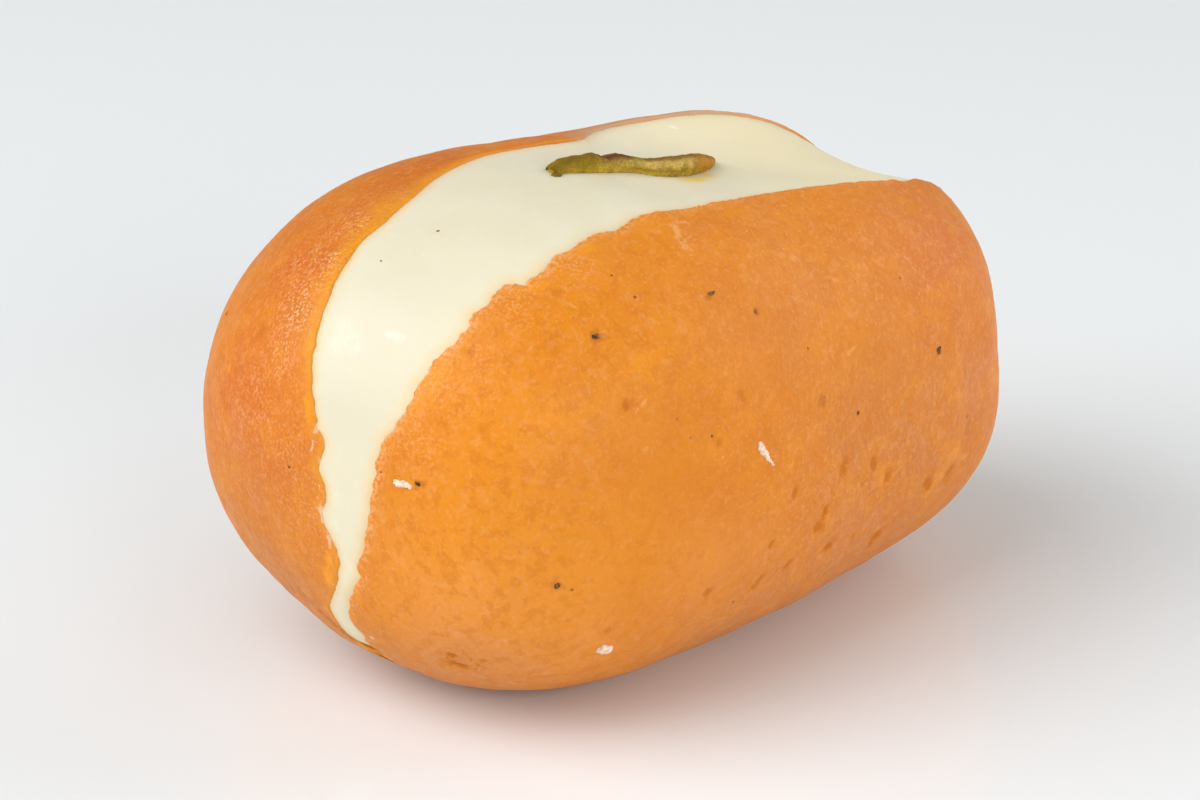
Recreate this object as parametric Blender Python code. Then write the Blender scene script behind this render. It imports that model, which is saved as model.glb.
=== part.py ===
"""A fried milk sweet, slit along its length, opened and filled with thick cream, with a nut sliver on top.

The sweet lies along X and rests on its underside, with the slit upwards. The origin is on the resting
plane, below the middle of the sweet. The near end is at -X, and the left lobe is at +Y.

The outer form is given by its reach from a centre in each direction. A direction has a longitude about
the Y axis (0 at the far end, 90 on top, 180 at the near end, 270 underneath) and a latitude towards +Y.
"""

import math

import bmesh
import bpy
import numpy as np
from mathutils import Matrix, Vector, noise
from mathutils.bvhtree import BVHTree

MM = 0.001
NAME = "khoya_jamun"

# Outer form, in millimetres from its centre. The underside is cut flat where it reaches below the resting
# plane, by SINK. MIDDLE is the middle of the finished sweet seen from above, which becomes the origin.
HALF_LENGTH = 31.0
LEFT = 23.0
RIGHT = 21.1
RISE = 21.35
DROP = 17.7
SINK = 1.9
MIDDLE = (-1.55, 2.55)

# How square the form is: 2 is an ellipse, more is fuller at the corners.
NEAR_FULLNESS = 2.91
FAR_FULLNESS = 3.52
CROWN_FULLNESS = 2.57
KEEL_FULLNESS = 2.11

# How much wider each lobe, and how much lower the top, is at the far end than in the middle.
LEFT_TAPER = -0.12
RIGHT_TAPER = 0.06
TOP_FALL = 0.04

# Where the form stands out or draws in: longitude, latitude and height. Each swell fades over SWELL_SPREAD,
# and is drawn out with the sweet by SWELL_STRETCH.
SWELLS = (
    (180, 45, 2.45),
    (180, -45, 0.3),
    (0, 45, -0.85),
    (0, -45, -1.95),
    (135, 40, 1.2),
    (135, -40, 0.45),
    (45, 40, -1.65),
    (45, -40, -1.05),
    (225, 40, -1.5),
    (225, -40, 0.25),
    (270, 45, -1.05),
    (270, -45, -0.55),
    (90, -75, -1.15),
    (90, -30, 0.75),
)
SWELL_SPREAD = 0.7
SWELL_STRETCH = (1.6, 1.15, 1.0)

# Slow unevenness of the fried surface: size of the lumps and their height, on a ball of the sweet's girth.
LUMPS = ((11.0, 0.28), (4.5, 0.12))
LUMP_BALL = 22.0

# The slit's two edges over the top, from the near end's foot to the far end's: longitude, left y, right y.
SLIT = (
    (205, 0.4, -0.7),
    (201, 2.2, -0.4),
    (197, 2.9, 0.1),
    (192, 2.1, 0.1),
    (187, 0.9, -0.7),
    (181, 0.5, -2.0),
    (173, 1.3, -3.0),
    (166, 2.2, -3.7),
    (160, 3.5, -5.1),
    (152, 4.8, -6.5),
    (143, 5.9, -7.0),
    (134, 6.7, -7.7),
    (122, 8.0, -7.7),
    (106, 8.6, -8.0),
    (90, 8.6, -8.5),
    (64, 8.4, -9.3),
    (46, 8.2, -9.8),
    (30, 6.5, -8.2),
    (14, 3.6, -5.4),
    (0, 1.5, -3.0),
    (-12, 0.9, -1.5),
    (-24, 0.6, -0.5),
)

# The slit's edges are ragged and rounded by LIP, and its bottom leaves HINGE of the sweet uncut, reached
# over HINGE_RISE degrees from each end.
RAGGED = 0.3
RAGGED_LENGTH = 2.2
RAGGED_SIDES = (0.0, 40.0)
LIP = 0.6
HINGE = 3.4
HINGE_RISE = 14.0

# The crust's mesh: meridians round the Y axis, and rows from the slit out to each side, the first few on the
# slit's wall. Where the sweet is uncut, those rows lie on its surface within SEAM of the middle.
MERIDIANS = 112
ROWS = 15
WALL_ROWS = 3
SEAM = 1.5

# A point of the form at a given width is searched for between these latitudes.
WIDEST_LATITUDE = 60.0
SEARCH_STEPS = 18

# Cream: its gap to the crust, the lean of the slit's walls, and how far its middle stands out (or sags,
# below 0) at each longitude, in full where the slit is FULL_WIDTH wide or more.
GAP = 0.32
WALL_LEAN = 1.15
MOST_LIFT = 0.6
CREAM_TOP_COLUMNS = 9
CREAM_STAND = ((-24, 0.0), (10, -0.3), (32, -0.9), (52, -1.2), (72, -0.7), (100, 0.0), (150, 0.8), (205, 0.3))
FULL_WIDTH = 12.0
CREAM_LEVEL = 0.25
CREAM_ENDS = (202.0, -20.0)

# Nut sliver, cut lengthwise and lying askew on the cream, with its flat side down.
SLIVER_ENDS = ((-8.9, 1.2), (5.7, -1.9))
SLIVER_WIDTH = 2.1
SLIVER_THICKNESS = 1.7
SLIVER_FLAT = 0.55
SLIVER_BEND = 0.55
SLIVER_BLUNTNESS = 3.5
SLIVER_NARROWING = 0.15
SLIVER_SEGMENTS = 14
SLIVER_RINGS = 18

CRUST_COLOUR = (0.70, 0.27, 0.06)
CREAM_COLOUR = (0.86, 0.80, 0.58)
NUT_COLOUR = (0.30, 0.27, 0.05)


def clear_scene():
    for item in list(bpy.data.objects):
        bpy.data.objects.remove(item)


def collection_named(name):
    group = bpy.data.collections.new(name)
    bpy.context.scene.collection.children.link(group)
    return group


def material(name, colour, roughness):
    made = bpy.data.materials.new(name)
    made.use_nodes = True
    shader = made.node_tree.nodes["Principled BSDF"]
    shader.inputs["Base Color"].default_value = (*colour, 1.0)
    shader.inputs["Roughness"].default_value = roughness
    shader.inputs["Metallic"].default_value = 0.0
    made.diffuse_color = (*colour, 1.0)
    return made


def add_object(name, bm, group, finish):
    mesh = bpy.data.meshes.new(name)
    bm.to_mesh(mesh)
    bm.free()
    mesh.shade_smooth()
    mesh.set_sharp_from_angle(angle=math.radians(50))
    mesh.materials.append(finish)
    made = bpy.data.objects.new(name, mesh)
    group.objects.link(made)
    return made


def smooth_step(value):
    held = np.clip(value, 0.0, 1.0)
    return held * held * (3 - 2 * held)


def directions(longitude, latitude):
    """Unit vectors for longitudes and latitudes in degrees."""
    turn, tilt = np.radians(longitude), np.radians(latitude)
    return np.stack([np.cos(turn) * np.cos(tilt), np.sin(tilt), np.sin(turn) * np.cos(tilt)], -1)


def drawn_round(vectors):
    """Directions as they would be if the sweet were drawn in to a ball."""
    shaped = vectors / np.array(SWELL_STRETCH)
    return shaped / np.linalg.norm(shaped, axis=-1, keepdims=True)


def swelling(vectors):
    total = np.zeros(vectors.shape[:-1])
    ball = drawn_round(vectors)
    for longitude, latitude, height in SWELLS:
        middle = drawn_round(directions(longitude, latitude))
        total += height * np.exp(-(1 - ball @ middle) / SWELL_SPREAD**2)
    return total


def lumps(vectors):
    """Gentle relief in each direction, the same each time."""
    total = np.zeros(len(vectors))
    for size, height in LUMPS:
        total += [height * noise.noise(Vector(vector)) for vector in vectors * (LUMP_BALL / size)]
    return total


def outer_points(longitude, latitude):
    """Points of the outer form, in millimetres, in the directions given."""
    vectors = directions(longitude, latitude).reshape(-1, 3)
    along, across, up = np.abs(vectors).T
    ahead = vectors[:, 0] < 0
    above = vectors[:, 2] > 0
    fullness = np.where(ahead, NEAR_FULLNESS, FAR_FULLNESS)
    squareness = np.where(above, CROWN_FULLNESS, KEEL_FULLNESS)
    half_width = np.where(vectors[:, 1] > 0, LEFT, RIGHT)
    half_height = np.where(above, RISE, DROP)
    section = (across / half_width) ** squareness + (up / half_height) ** squareness
    section = np.maximum(section, 1e-12) ** (1 / squareness)
    reach = (section**fullness + (along / HALF_LENGTH) ** fullness) ** (-1 / fullness)
    points = vectors * (reach + swelling(vectors) + lumps(vectors))[:, None]
    along = points[:, 0] / HALF_LENGTH
    points[:, 1] *= 1 + along * np.where(points[:, 1] > 0, LEFT_TAPER, RIGHT_TAPER)
    points[:, 2] *= 1 - along * np.where(above, TOP_FALL, 0.0)
    points[:, 2] = np.maximum(points[:, 2] + DROP - SINK, 0.0)
    return points.reshape(*np.shape(longitude), 3)


def points_at_width(longitude, width):
    """Points of the outer form at these longitudes whose y is the width asked for."""
    low = np.full(len(longitude), -WIDEST_LATITUDE)
    high = np.full(len(longitude), WIDEST_LATITUDE)
    for _ in range(SEARCH_STEPS):
        middle = (low + high) / 2
        beyond = outer_points(longitude, middle)[:, 1] > width
        high = np.where(beyond, middle, high)
        low = np.where(beyond, low, middle)
    middle = (low + high) / 2
    return outer_points(longitude, middle), middle


def curve_through(stations, at):
    """Smooth curve through the stations (place, value), read at each place in `at`."""
    places = np.array([place for place, _ in stations])
    values = np.array([value for _, value in stations])
    slopes = np.gradient(values, places)
    index = np.clip(np.searchsorted(places, at, side="right") - 1, 0, len(places) - 2)
    span = places[index + 1] - places[index]
    step = np.clip((at - places[index]) / span, 0, 1)
    rise = values[index + 1] - values[index]
    bend = step * (1 - step) ** 2 * slopes[index] - step**2 * (1 - step) * slopes[index + 1]
    return values[index] + rise * step**2 * (3 - 2 * step) + bend * span


def over_the_top(longitude):
    """Longitudes counted from -90, underneath, to 270, underneath again, so that the slit is one run."""
    return (np.asarray(longitude, float) + 90) % 360 - 90


def slit_edges(longitude):
    """The y of the slit's left and right edge, and how far the slit is open there, from 0 to 1."""
    place = over_the_top(longitude)
    near, far = SLIT[0], SLIT[-1]
    stations = [(-90, SEAM, -SEAM), *reversed(SLIT), (270, SEAM, -SEAM)]
    left = curve_through([(where, y) for where, y, _ in stations], place)
    right = curve_through([(where, y) for where, _, y in stations], place)
    opened = ((place < near[0]) & (place > far[0])).astype(float)
    for side, edge in zip(RAGGED_SIDES, (left, right)):
        along = np.radians(place) * HALF_LENGTH / RAGGED_LENGTH
        ragged = [RAGGED * noise.noise(Vector((float(step), side, 0.0))) for step in along]
        edge += opened * ragged
    return left, right, opened


def slit_root(longitude):
    """The bottom of the slit, which runs back under the sweet as its edges run over the top."""
    place = over_the_top(longitude)
    near, far = SLIT[0][0], SLIT[-1][0]
    share = (near - place) / (near - far)
    beneath = near + share * (360 + far - near)
    surface = outer_points(beneath, np.zeros(len(place)))
    centre = np.array([0.0, 0.0, DROP - SINK])
    inward = centre - surface
    inward /= np.linalg.norm(inward, axis=1, keepdims=True)
    from_end = np.minimum(near - place, place - far)
    return surface + inward * (HINGE * smooth_step(from_end / HINGE_RISE))[:, None]


def side_rows(longitude, edge, side, opened):
    """One side's points at these longitudes, from the slit's bottom out to the side's middle."""
    cut = opened[:, None] > 0.5
    root = slit_root(longitude)
    on_edge, edge_latitude = points_at_width(longitude, edge)
    past_lip, lip_latitude = points_at_width(longitude, edge + side * LIP)
    down = root - on_edge
    depth = np.linalg.norm(down, axis=1, keepdims=True)
    lip_foot = on_edge + down * np.minimum(LIP / depth, 0.5)
    wall = (root, (root + lip_foot) / 2, lip_foot, past_lip)
    at_near_end = np.cos(np.radians(longitude)) < 0
    middle = np.where(at_near_end, sum(SLIT[0][1:]) / 2, sum(SLIT[-1][1:]) / 2)
    rows = []
    for row in range(WALL_ROWS + 1):
        uncut, _ = points_at_width(longitude, middle + (edge - middle) * row / WALL_ROWS)
        rows.append(np.where(cut, wall[row], uncut))
    start = np.where(cut[:, 0], lip_latitude, edge_latitude)
    for row in range(WALL_ROWS + 1, ROWS + 1):
        share = (row - WALL_ROWS) / (ROWS - WALL_ROWS)
        rows.append(outer_points(longitude, start + (side * 90 - start) * share))
    return np.array(rows)


def to_world(points):
    return (points - np.array([*MIDDLE, 0.0])) * MM


def make_crust(group, finish):
    """The fried sweet: a sphere with its poles at the sides, drawn out to the form and slit over the top."""
    bm = bmesh.new()
    bmesh.ops.create_uvsphere(
        bm,
        u_segments=MERIDIANS,
        v_segments=2 * ROWS,
        radius=1.0,
        matrix=Matrix.Rotation(math.radians(-90), 4, "X"),
    )
    longitude = np.arange(MERIDIANS) * 360.0 / MERIDIANS
    left, right, opened = slit_edges(longitude)
    sides = {
        1: side_rows(longitude, left, 1, opened),
        -1: side_rows(longitude, right, -1, opened),
    }
    for vertex in bm.verts:
        x, y, z = vertex.co
        tilt = math.degrees(math.asin(max(-1.0, min(1.0, y))))
        row = round(tilt / 90 * ROWS)
        meridian = round(math.degrees(math.atan2(z, x)) / 360 * MERIDIANS) % MERIDIANS
        side = 1 if row >= 0 else -1
        vertex.co = to_world(sides[side][abs(row), meridian])
    return add_object("jamun_body", bm, group, finish)


def cream_section(longitude):
    """Rings of the cream at these longitudes: across the top, down one wall and up the other."""
    left, right, _ = slit_edges(longitude)
    root = slit_root(longitude)
    left_edge, _ = points_at_width(longitude, left)
    right_edge, _ = points_at_width(longitude, right)
    across = left_edge - right_edge
    width = np.linalg.norm(across, axis=1, keepdims=True)
    across /= width
    middle = (left_edge + right_edge) / 2
    down = root - middle
    depth = np.linalg.norm(down, axis=1, keepdims=True)
    down /= depth
    left_top = left_edge - across * GAP * WALL_LEAN + down * CREAM_LEVEL
    right_top = right_edge + across * GAP * WALL_LEAN + down * CREAM_LEVEL
    lift = 2 * GAP * WALL_LEAN * depth / width
    foot = root - down * np.minimum(lift, depth * MOST_LIFT)
    stand = curve_through(CREAM_STAND, over_the_top(longitude))[:, None]
    ring = []
    for column in range(CREAM_TOP_COLUMNS):
        share = column / (CREAM_TOP_COLUMNS - 1)
        bulge = 4 * share * (1 - share) * stand * np.minimum(width / FULL_WIDTH, 1)
        ring.append(left_top + (right_top - left_top) * share - down * bulge)
    ring.append((right_top + foot) / 2)
    ring.append(foot)
    ring.append((left_top + foot) / 2)
    return np.array(ring)


def make_cream(group, finish):
    """The cream: a wedge lofted from the near end's foot, over the top, to the far end's foot."""
    longitude = np.arange(-MERIDIANS, MERIDIANS) * 360.0 / MERIDIANS
    longitude = longitude[(longitude < CREAM_ENDS[0]) & (longitude > CREAM_ENDS[1])]
    rings = cream_section(longitude)
    bm = bmesh.new()
    loft = []
    for station in range(len(longitude)):
        loft.append([bm.verts.new(to_world(point)) for point in rings[:, station]])
    for ring, following in zip(loft, loft[1:]):
        for corner in range(len(ring)):
            after = (corner + 1) % len(ring)
            bm.faces.new((ring[corner], ring[after], following[after], following[corner]))
    bm.faces.new(loft[0][::-1])
    bm.faces.new(loft[-1])
    bmesh.ops.triangulate(bm, faces=[face for face in bm.faces if len(face.verts) > 4])
    bmesh.ops.recalc_face_normals(bm, faces=bm.faces)
    return add_object("cream_filling", bm, group, finish)


def make_sliver(group, finish, cream):
    """The nut sliver: a sphere drawn out, flattened and bent, lying just clear of the cream."""
    start, end = (np.array(point) for point in SLIVER_ENDS)
    length = float(np.linalg.norm(end - start))
    along = (end - start) / length
    sideways = np.array([-along[1], along[0]])
    cream_surface = BVHTree.FromPolygons(
        [vertex.co for vertex in cream.data.vertices],
        [face.vertices for face in cream.data.polygons],
    )
    bm = bmesh.new()
    bmesh.ops.create_uvsphere(
        bm,
        u_segments=SLIVER_SEGMENTS,
        v_segments=SLIVER_RINGS,
        radius=1.0,
        matrix=Matrix.Rotation(math.radians(90), 4, "Y"),
    )
    for vertex in bm.verts:
        run, side, up = vertex.co
        round_end = max((1 - run * run) ** 0.5, 0.05)
        fullness = (1 - abs(run) ** SLIVER_BLUNTNESS) ** 0.5 / round_end
        width = side * fullness * SLIVER_WIDTH / 2 * (1 - SLIVER_NARROWING * run)
        bend = SLIVER_BEND * (0.5 - run * run)
        place = (start + end) / 2 + along * run * length / 2 + sideways * (width + bend)
        height = (max(-SLIVER_FLAT, up * fullness) + SLIVER_FLAT) / 2 * SLIVER_THICKNESS
        above = Vector((*((place - np.array(MIDDLE)) * MM), 1.0))
        landing = cream_surface.ray_cast(above, Vector((0, 0, -1)))[0]
        vertex.co = landing + Vector((0, 0, (GAP + height) * MM))
    return add_object("pistachio_sliver", bm, group, finish)


def main():
    clear_scene()
    group = collection_named(NAME)
    make_crust(group, material("fried_crust", CRUST_COLOUR, 0.45))
    cream = make_cream(group, material("cream", CREAM_COLOUR, 0.5))
    make_sliver(group, material("nut", NUT_COLOUR, 0.5), cream)


main()
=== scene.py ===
"""Looks of a fried milk sweet, slit along its length and filled with cream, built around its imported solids.

Everything is in metres, in the solids' frame: +X along the sweet to its far end, +Y towards its left lobe, +Z
up through the slit, and the origin below its middle on the resting plane. The dressed pieces repeat the form
of the solids at a finer grain: the crust with its pores, wrinkles and crumbly slit, the cream, the nut sliver,
crumbs and specks, and a pale floor in soft studio light.
"""

import functools
import math

import bmesh
import bpy
import numpy as np
from mathutils import Matrix, Vector, noise
from mathutils.bvhtree import BVHTree
from mathutils.kdtree import KDTree


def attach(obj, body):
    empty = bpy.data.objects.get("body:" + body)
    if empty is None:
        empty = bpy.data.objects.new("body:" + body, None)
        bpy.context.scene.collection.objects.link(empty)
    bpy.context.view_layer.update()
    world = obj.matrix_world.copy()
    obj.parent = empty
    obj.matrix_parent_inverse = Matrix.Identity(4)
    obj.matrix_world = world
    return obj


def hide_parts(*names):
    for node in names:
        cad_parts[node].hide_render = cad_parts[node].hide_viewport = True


bl_info = {
    "name": "Filled Milk Sweet",
    "version": (1, 0, 0),
    "blender": (4, 5, 0),
    "location": "View3D > Sidebar > Sweet",
    "description": "Builds a slit and cream-filled fried sweet, its topping and its stage",
    "category": "Add Mesh",
}

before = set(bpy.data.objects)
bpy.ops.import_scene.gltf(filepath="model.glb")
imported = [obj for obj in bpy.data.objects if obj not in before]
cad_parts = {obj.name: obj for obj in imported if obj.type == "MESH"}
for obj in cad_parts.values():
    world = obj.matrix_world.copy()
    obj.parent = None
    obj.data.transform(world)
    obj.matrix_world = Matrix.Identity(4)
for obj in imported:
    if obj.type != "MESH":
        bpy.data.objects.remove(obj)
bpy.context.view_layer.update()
BODY = "root"
MM = 0.001
LEAST = 1e-12  # keeps a division from meeting nought

# Outer form, in millimetres from its centre, as the solids have it. A direction has a longitude about the Y
# axis (0 at the far end, 90 on top, 180 at the near end, 270 underneath) and a latitude towards +Y.
HALF_LENGTH = 31.0
LEFT = 23.0
RIGHT = 21.1
RISE = 21.35
DROP = 17.7
SINK = 1.9
MIDDLE = (-1.55, 2.55)
NEAR_FULLNESS = 2.91
FAR_FULLNESS = 3.52
CROWN_FULLNESS = 2.57
KEEL_FULLNESS = 2.11
LEFT_TAPER = -0.12
RIGHT_TAPER = 0.06
TOP_FALL = 0.04
SWELLS = (
    (180, 45, 2.45), (180, -45, 0.3), (0, 45, -0.85), (0, -45, -1.95), (135, 40, 1.2), (135, -40, 0.45),
    (45, 40, -1.65), (45, -40, -1.05), (225, 40, -1.5), (225, -40, 0.25), (270, 45, -1.05),
    (270, -45, -0.55), (90, -75, -1.15), (90, -30, 0.75),
)
SWELL_SPREAD = 0.7
SWELL_STRETCH = (1.6, 1.15, 1.0)
LUMPS = ((11.0, 0.28), (4.5, 0.12))
LUMP_BALL = 22.0

# The slit's two edges over the top, from the near end's foot to the far end's: longitude, left y, right y.
SLIT = (
    (205, 0.4, -0.7), (201, 2.2, -0.4), (197, 2.9, 0.1), (192, 2.1, 0.1), (187, 0.9, -0.7),
    (181, 0.5, -2.0), (173, 1.3, -3.0), (166, 2.2, -3.7), (160, 3.5, -5.1), (152, 4.8, -6.5),
    (143, 5.9, -7.0), (134, 6.7, -7.7), (122, 8.0, -7.7), (106, 8.6, -8.0), (90, 8.6, -8.5),
    (64, 8.4, -9.3), (46, 8.2, -9.8), (30, 6.5, -8.2), (14, 3.6, -5.4), (0, 1.5, -3.0), (-12, 0.9, -1.5),
    (-24, 0.6, -0.5),
)
RAGGED = 0.3
RAGGED_LENGTH = 2.2
RAGGED_SIDES = (0.0, 40.0)
HINGE = 3.4
HINGE_RISE = 14.0
SEAM = 1.5
WIDEST_LATITUDE = 60.0
SEARCH_STEPS = 22

# The slit's borders where they show, in pixels of the picture, from the near end's foot over the top.
LEFT_BORDER = (
    (371, 651), (365, 646.5), (358, 641), (354, 639), (345, 633), (338, 623), (333, 615), (330, 609),
    (329, 604), (332, 597), (335, 589), (338, 580), (338, 571), (340, 563), (338, 556), (337, 549),
    (333, 542), (330, 534), (325, 526), (323, 516), (322, 510), (326, 503), (327, 495), (325, 486),
    (322, 478), (319, 469), (319, 463), (322, 455), (325, 447), (324, 438), (320, 431), (316, 427),
    (318, 420), (315, 412), (315, 402), (313, 394), (312, 385), (313, 376), (311, 366), (313, 354),
    (316, 345), (316, 338), (318, 331), (320, 322), (323, 312), (327, 303), (331, 293), (334, 283),
    (339, 274), (344, 266), (350, 257), (357, 246), (365, 237), (375, 229), (385, 221), (394, 212),
    (403, 204), (413, 196), (424, 186), (434, 178), (445, 171), (456, 165), (470, 159), (486, 153),
    (504, 149), (522, 145.6), (540, 142.7), (558, 140.6), (573, 138.6), (582, 136.6), (587, 133.4),
    (593, 129.8), (601, 127), (611, 124.2), (629, 120.8), (647, 117.4),
)
RIGHT_BORDER = (
    (373, 649), (369, 645), (365, 640.5), (361, 633), (354, 627), (349, 621), (347, 613), (348, 604),
    (350, 595), (352, 587), (356, 581), (358, 576), (356, 570), (355, 563), (359, 556), (362, 547),
    (363, 538), (365, 527), (367, 515), (368, 502), (370, 491), (372, 481), (375, 472), (373, 463),
    (377, 455), (379, 446), (384, 437), (391, 430), (395, 424), (400, 417), (404, 409), (407, 403),
    (412, 398), (411, 392), (415, 385), (421, 378), (425, 372), (431, 365), (437, 357), (443, 350),
    (449, 345), (455, 341), (458, 334), (464, 330), (468, 326), (468, 319), (471, 312), (481, 307),
    (487, 302), (490, 295), (496, 289), (505, 283), (512, 281), (517, 285), (522, 285), (528, 279),
    (537, 273), (545, 267), (549, 259), (557, 253), (567, 249), (573, 244), (581, 239), (591, 234),
    (602, 230), (613, 229), (622, 226), (629, 219), (640, 214), (656, 210), (676, 208), (695, 205),
    (712, 201), (733, 198), (751, 194), (776, 190), (802, 186), (826, 183.5), (846, 181.5),
)
NEAR_BLEND = 3.0
FAR_BLEND = 8.0
FORM_STEP = 1.5

# Crumbling of the torn borders, in millimetres: size and depth of the crumbs, and how crumbly the left and the
# right border are at each longitude.
CRUMBS_TORN = ((1.5, 0.2), (0.6, 0.13))
UNTORN = 0.45
TORN_APART = 9.0
LEFT_TORN = ((-24, 0.6), (60, 0.3), (90, 0.25), (145, 0.2), (156, 0.6), (170, 1.0), (205, 1.0))
RIGHT_TORN = ((-24, 0.6), (50, 0.3), (90, 0.45), (108, 0.8), (122, 1.1), (205, 1.0))

# The crust's mesh: meridians round the Y axis, closer together where the slit is; rows on the slit's wall, on
# its lip and outside; and the outer rows after which only every second meridian goes on.
MERIDIANS = 784
MERIDIAN_STOPS = ((0.0, -27.0), (0.24, 80.0), (0.80, 204.0), (0.83, 218.0), (1.0, 333.0))
WALL_ROWS = 5
LIP_ROWS = 6
OUTER_ROWS = 100
SPARSER = (10, 60, 84)
LIP = 0.3

# Slight swells and hollows of what shows: place in the picture, reach and height in millimetres.
NUDGES = (
    (210, 400, 9.0, 0.3), (358, 184, 9.0, 0.25), (244, 285, 6.0, -0.7), (274, 566, 5.5, -0.6),
    (338, 631, 3.0, 0.22), (806, 580, 8.0, 0.5), (992, 340, 9.0, -0.3), (903, 188, 5.0, -0.3),
    (560, 141, 9.0, -0.2), (618, 127, 4.5, -0.1), (792, 140, 4.0, -0.12), (932, 512, 5.0, -0.15),
)

# Fine relief of the crust: size and height of each grain, in millimetres.
CRUST_GRAINS = ((3.4, 0.07), (1.9, 0.035))
NEXT_NOISE = 17.0

# Wrinkles low on the left lobe and at the far end: how the noise is drawn out, its size and its shift; and
# where they begin and over what length they rise, by height, width and length.
FOLDS = (((0.3, 1.0, 0.3), 0.5, 3.0), ((1.0, 1.0, 0.3), 0.6, 8.0))
LOW = (12.0, -8.0)
ON_LEFT = (3.0, 6.0)
AT_FAR_END = (21.0, 6.0)
STREAKS = (0.1, 0.5)
# Painted shade in the wrinkles' troughs: where it begins and the depth over which it rises.
FURROW_SHADE = (-0.04, -0.35)

# Grain beside the torn border: its height and reach, and its noise's size and shift. How far up the foot is
# flat; the step, in degrees, between the spots at which the border is known; and how deep a dark mark is
# sunk, as a share of a pit.
TORN_HEIGHT = 0.05
TORN_REACH = 0.8
TORN_GRAIN = (0.45, 21.0)
FLAT_FOOT = 0.3
BORDER_STEP = 0.4
SHADE_DEPTH = 0.8

# How far the rim of each lobe is more golden, in millimetres, at each longitude.
LEFT_RIM = (
    (-24, 0.4), (95, 0.22), (114, 0.35), (124, 1.0), (132, 1.7), (150, 1.4), (162, 0.9), (180, 0.5), (205, 0.4),
)
RIGHT_RIM = ((-24, 0.4), (80, 0.5), (100, 0.9), (125, 1.5), (145, 0.9), (165, 0.6), (205, 0.4))

# Cream: how deep its borders lie in the crust's lip, how far past the lip, and where they end inside it, how
# deep its skin lies below the borders, how far a bend of the border reaches, and how far its middle stands out.
UNDER_LIP = 0.12
CREAM_UNDER = 0.12
TUCK = 1.1
CREAM_LEVEL = 0.12
BORDER_REACH = 1.3
CREAM_STAND = (
    (-24, 0.0), (10, -0.3), (32, -0.9), (52, -1.2), (72, -0.7), (100, 0.0), (150, 0.8), (205, 0.3),
)
FULL_WIDTH = 12.0
CREAM_ENDS = (199.2, -22.0)
CREAM_STATIONS = 640
CREAM_COLUMNS = 72
CREAM_WALL_COLUMNS = 6
CREAM_GRAINS = ((7.0, 0.10), (2.6, 0.035))
CREAM_SHIFT = 31.0

# The camera: its place, what it looks at, and its lens on a 36 mm sensor.
PICTURE = (1200, 800)
SENSOR = 36.0
LENS = 145.05
FOCAL = LENS / SENSOR * PICTURE[0]
NEAREST_SEEN = 0.01
EYE = Vector((-0.24332, -0.23901, 0.16139))
AIM = Vector((-0.00081, -0.00011, 0.01680))

# Specks on the crust: place in the picture, in pixels, and width, height in millimetres, and turn.
BURNT_SPECKS = (
    (596, 337, 0.62, 0.46, 10), (939, 350, 0.42, 0.6, 0), (712, 293, 0.6, 0.3, 25),
    (858, 413, 0.26, 0.26, 0), (418, 484, 0.42, 0.4, 0), (557, 586, 0.5, 0.42, 0),
    (712, 436, 0.22, 0.24, 0), (289, 467, 0.2, 0.18, 0),
)
BROWN_SPECKS = (
    (756, 312, 0.42, 0.4, 0), (611, 275, 0.26, 0.24, 0), (635, 297, 0.26, 0.26, 0),
    (678, 419, 0.26, 0.24, 0), (691, 438, 0.24, 0.24, 0), (733, 602, 0.22, 0.22, 0),
    (967, 417, 0.4, 0.3, 0), (808, 348, 0.2, 0.2, 0), (900, 278, 0.2, 0.2, 0), (381, 472, 0.18, 0.18, 0),
    (572, 590, 0.24, 0.2, 0), (227, 313, 0.5, 0.35, 60),
)
CREAM_SPECKS = ((438, 231, 0.24, 0.2, 0), (381, 261, 0.15, 0.15, 0))
SPECK_THICKNESS = 0.1
SPECK_ROUGHNESS = 0.6

# Crumbs of dried milk: places in the picture and the breadth of the crumb there, in millimetres.
CRUMBS = (
    ((396, 482, 0.45), (399, 484, 0.6), (403, 484, 0.62), (407, 485, 0.55), (410, 487, 0.4)),
    ((600, 650, 0.7), (603, 648, 0.95), (606, 650, 0.9), (609, 648, 0.65)),
    (
        (760, 444.5, 0.5), (761, 447, 0.6), (762.5, 450, 0.62), (765, 452.5, 0.55), (766, 455, 0.5),
        (768, 458, 0.4), (770, 460.5, 0.34), (772, 463, 0.3), (773.5, 465, 0.25),
    ),
)
CRUMB_SHAPE = (1, 1 / 1.15, 1 / 1.6)
CRUMB_ROUGHNESS = 0.4
CRUMB_GRAIN = 0.05
BLOB_FINENESS = 3

# How far beyond a mark the points still know it, in millimetres, and the place in a mark of all others.
MARK_MARGIN = 1.6
FAR_OFF = 99.0

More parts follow.
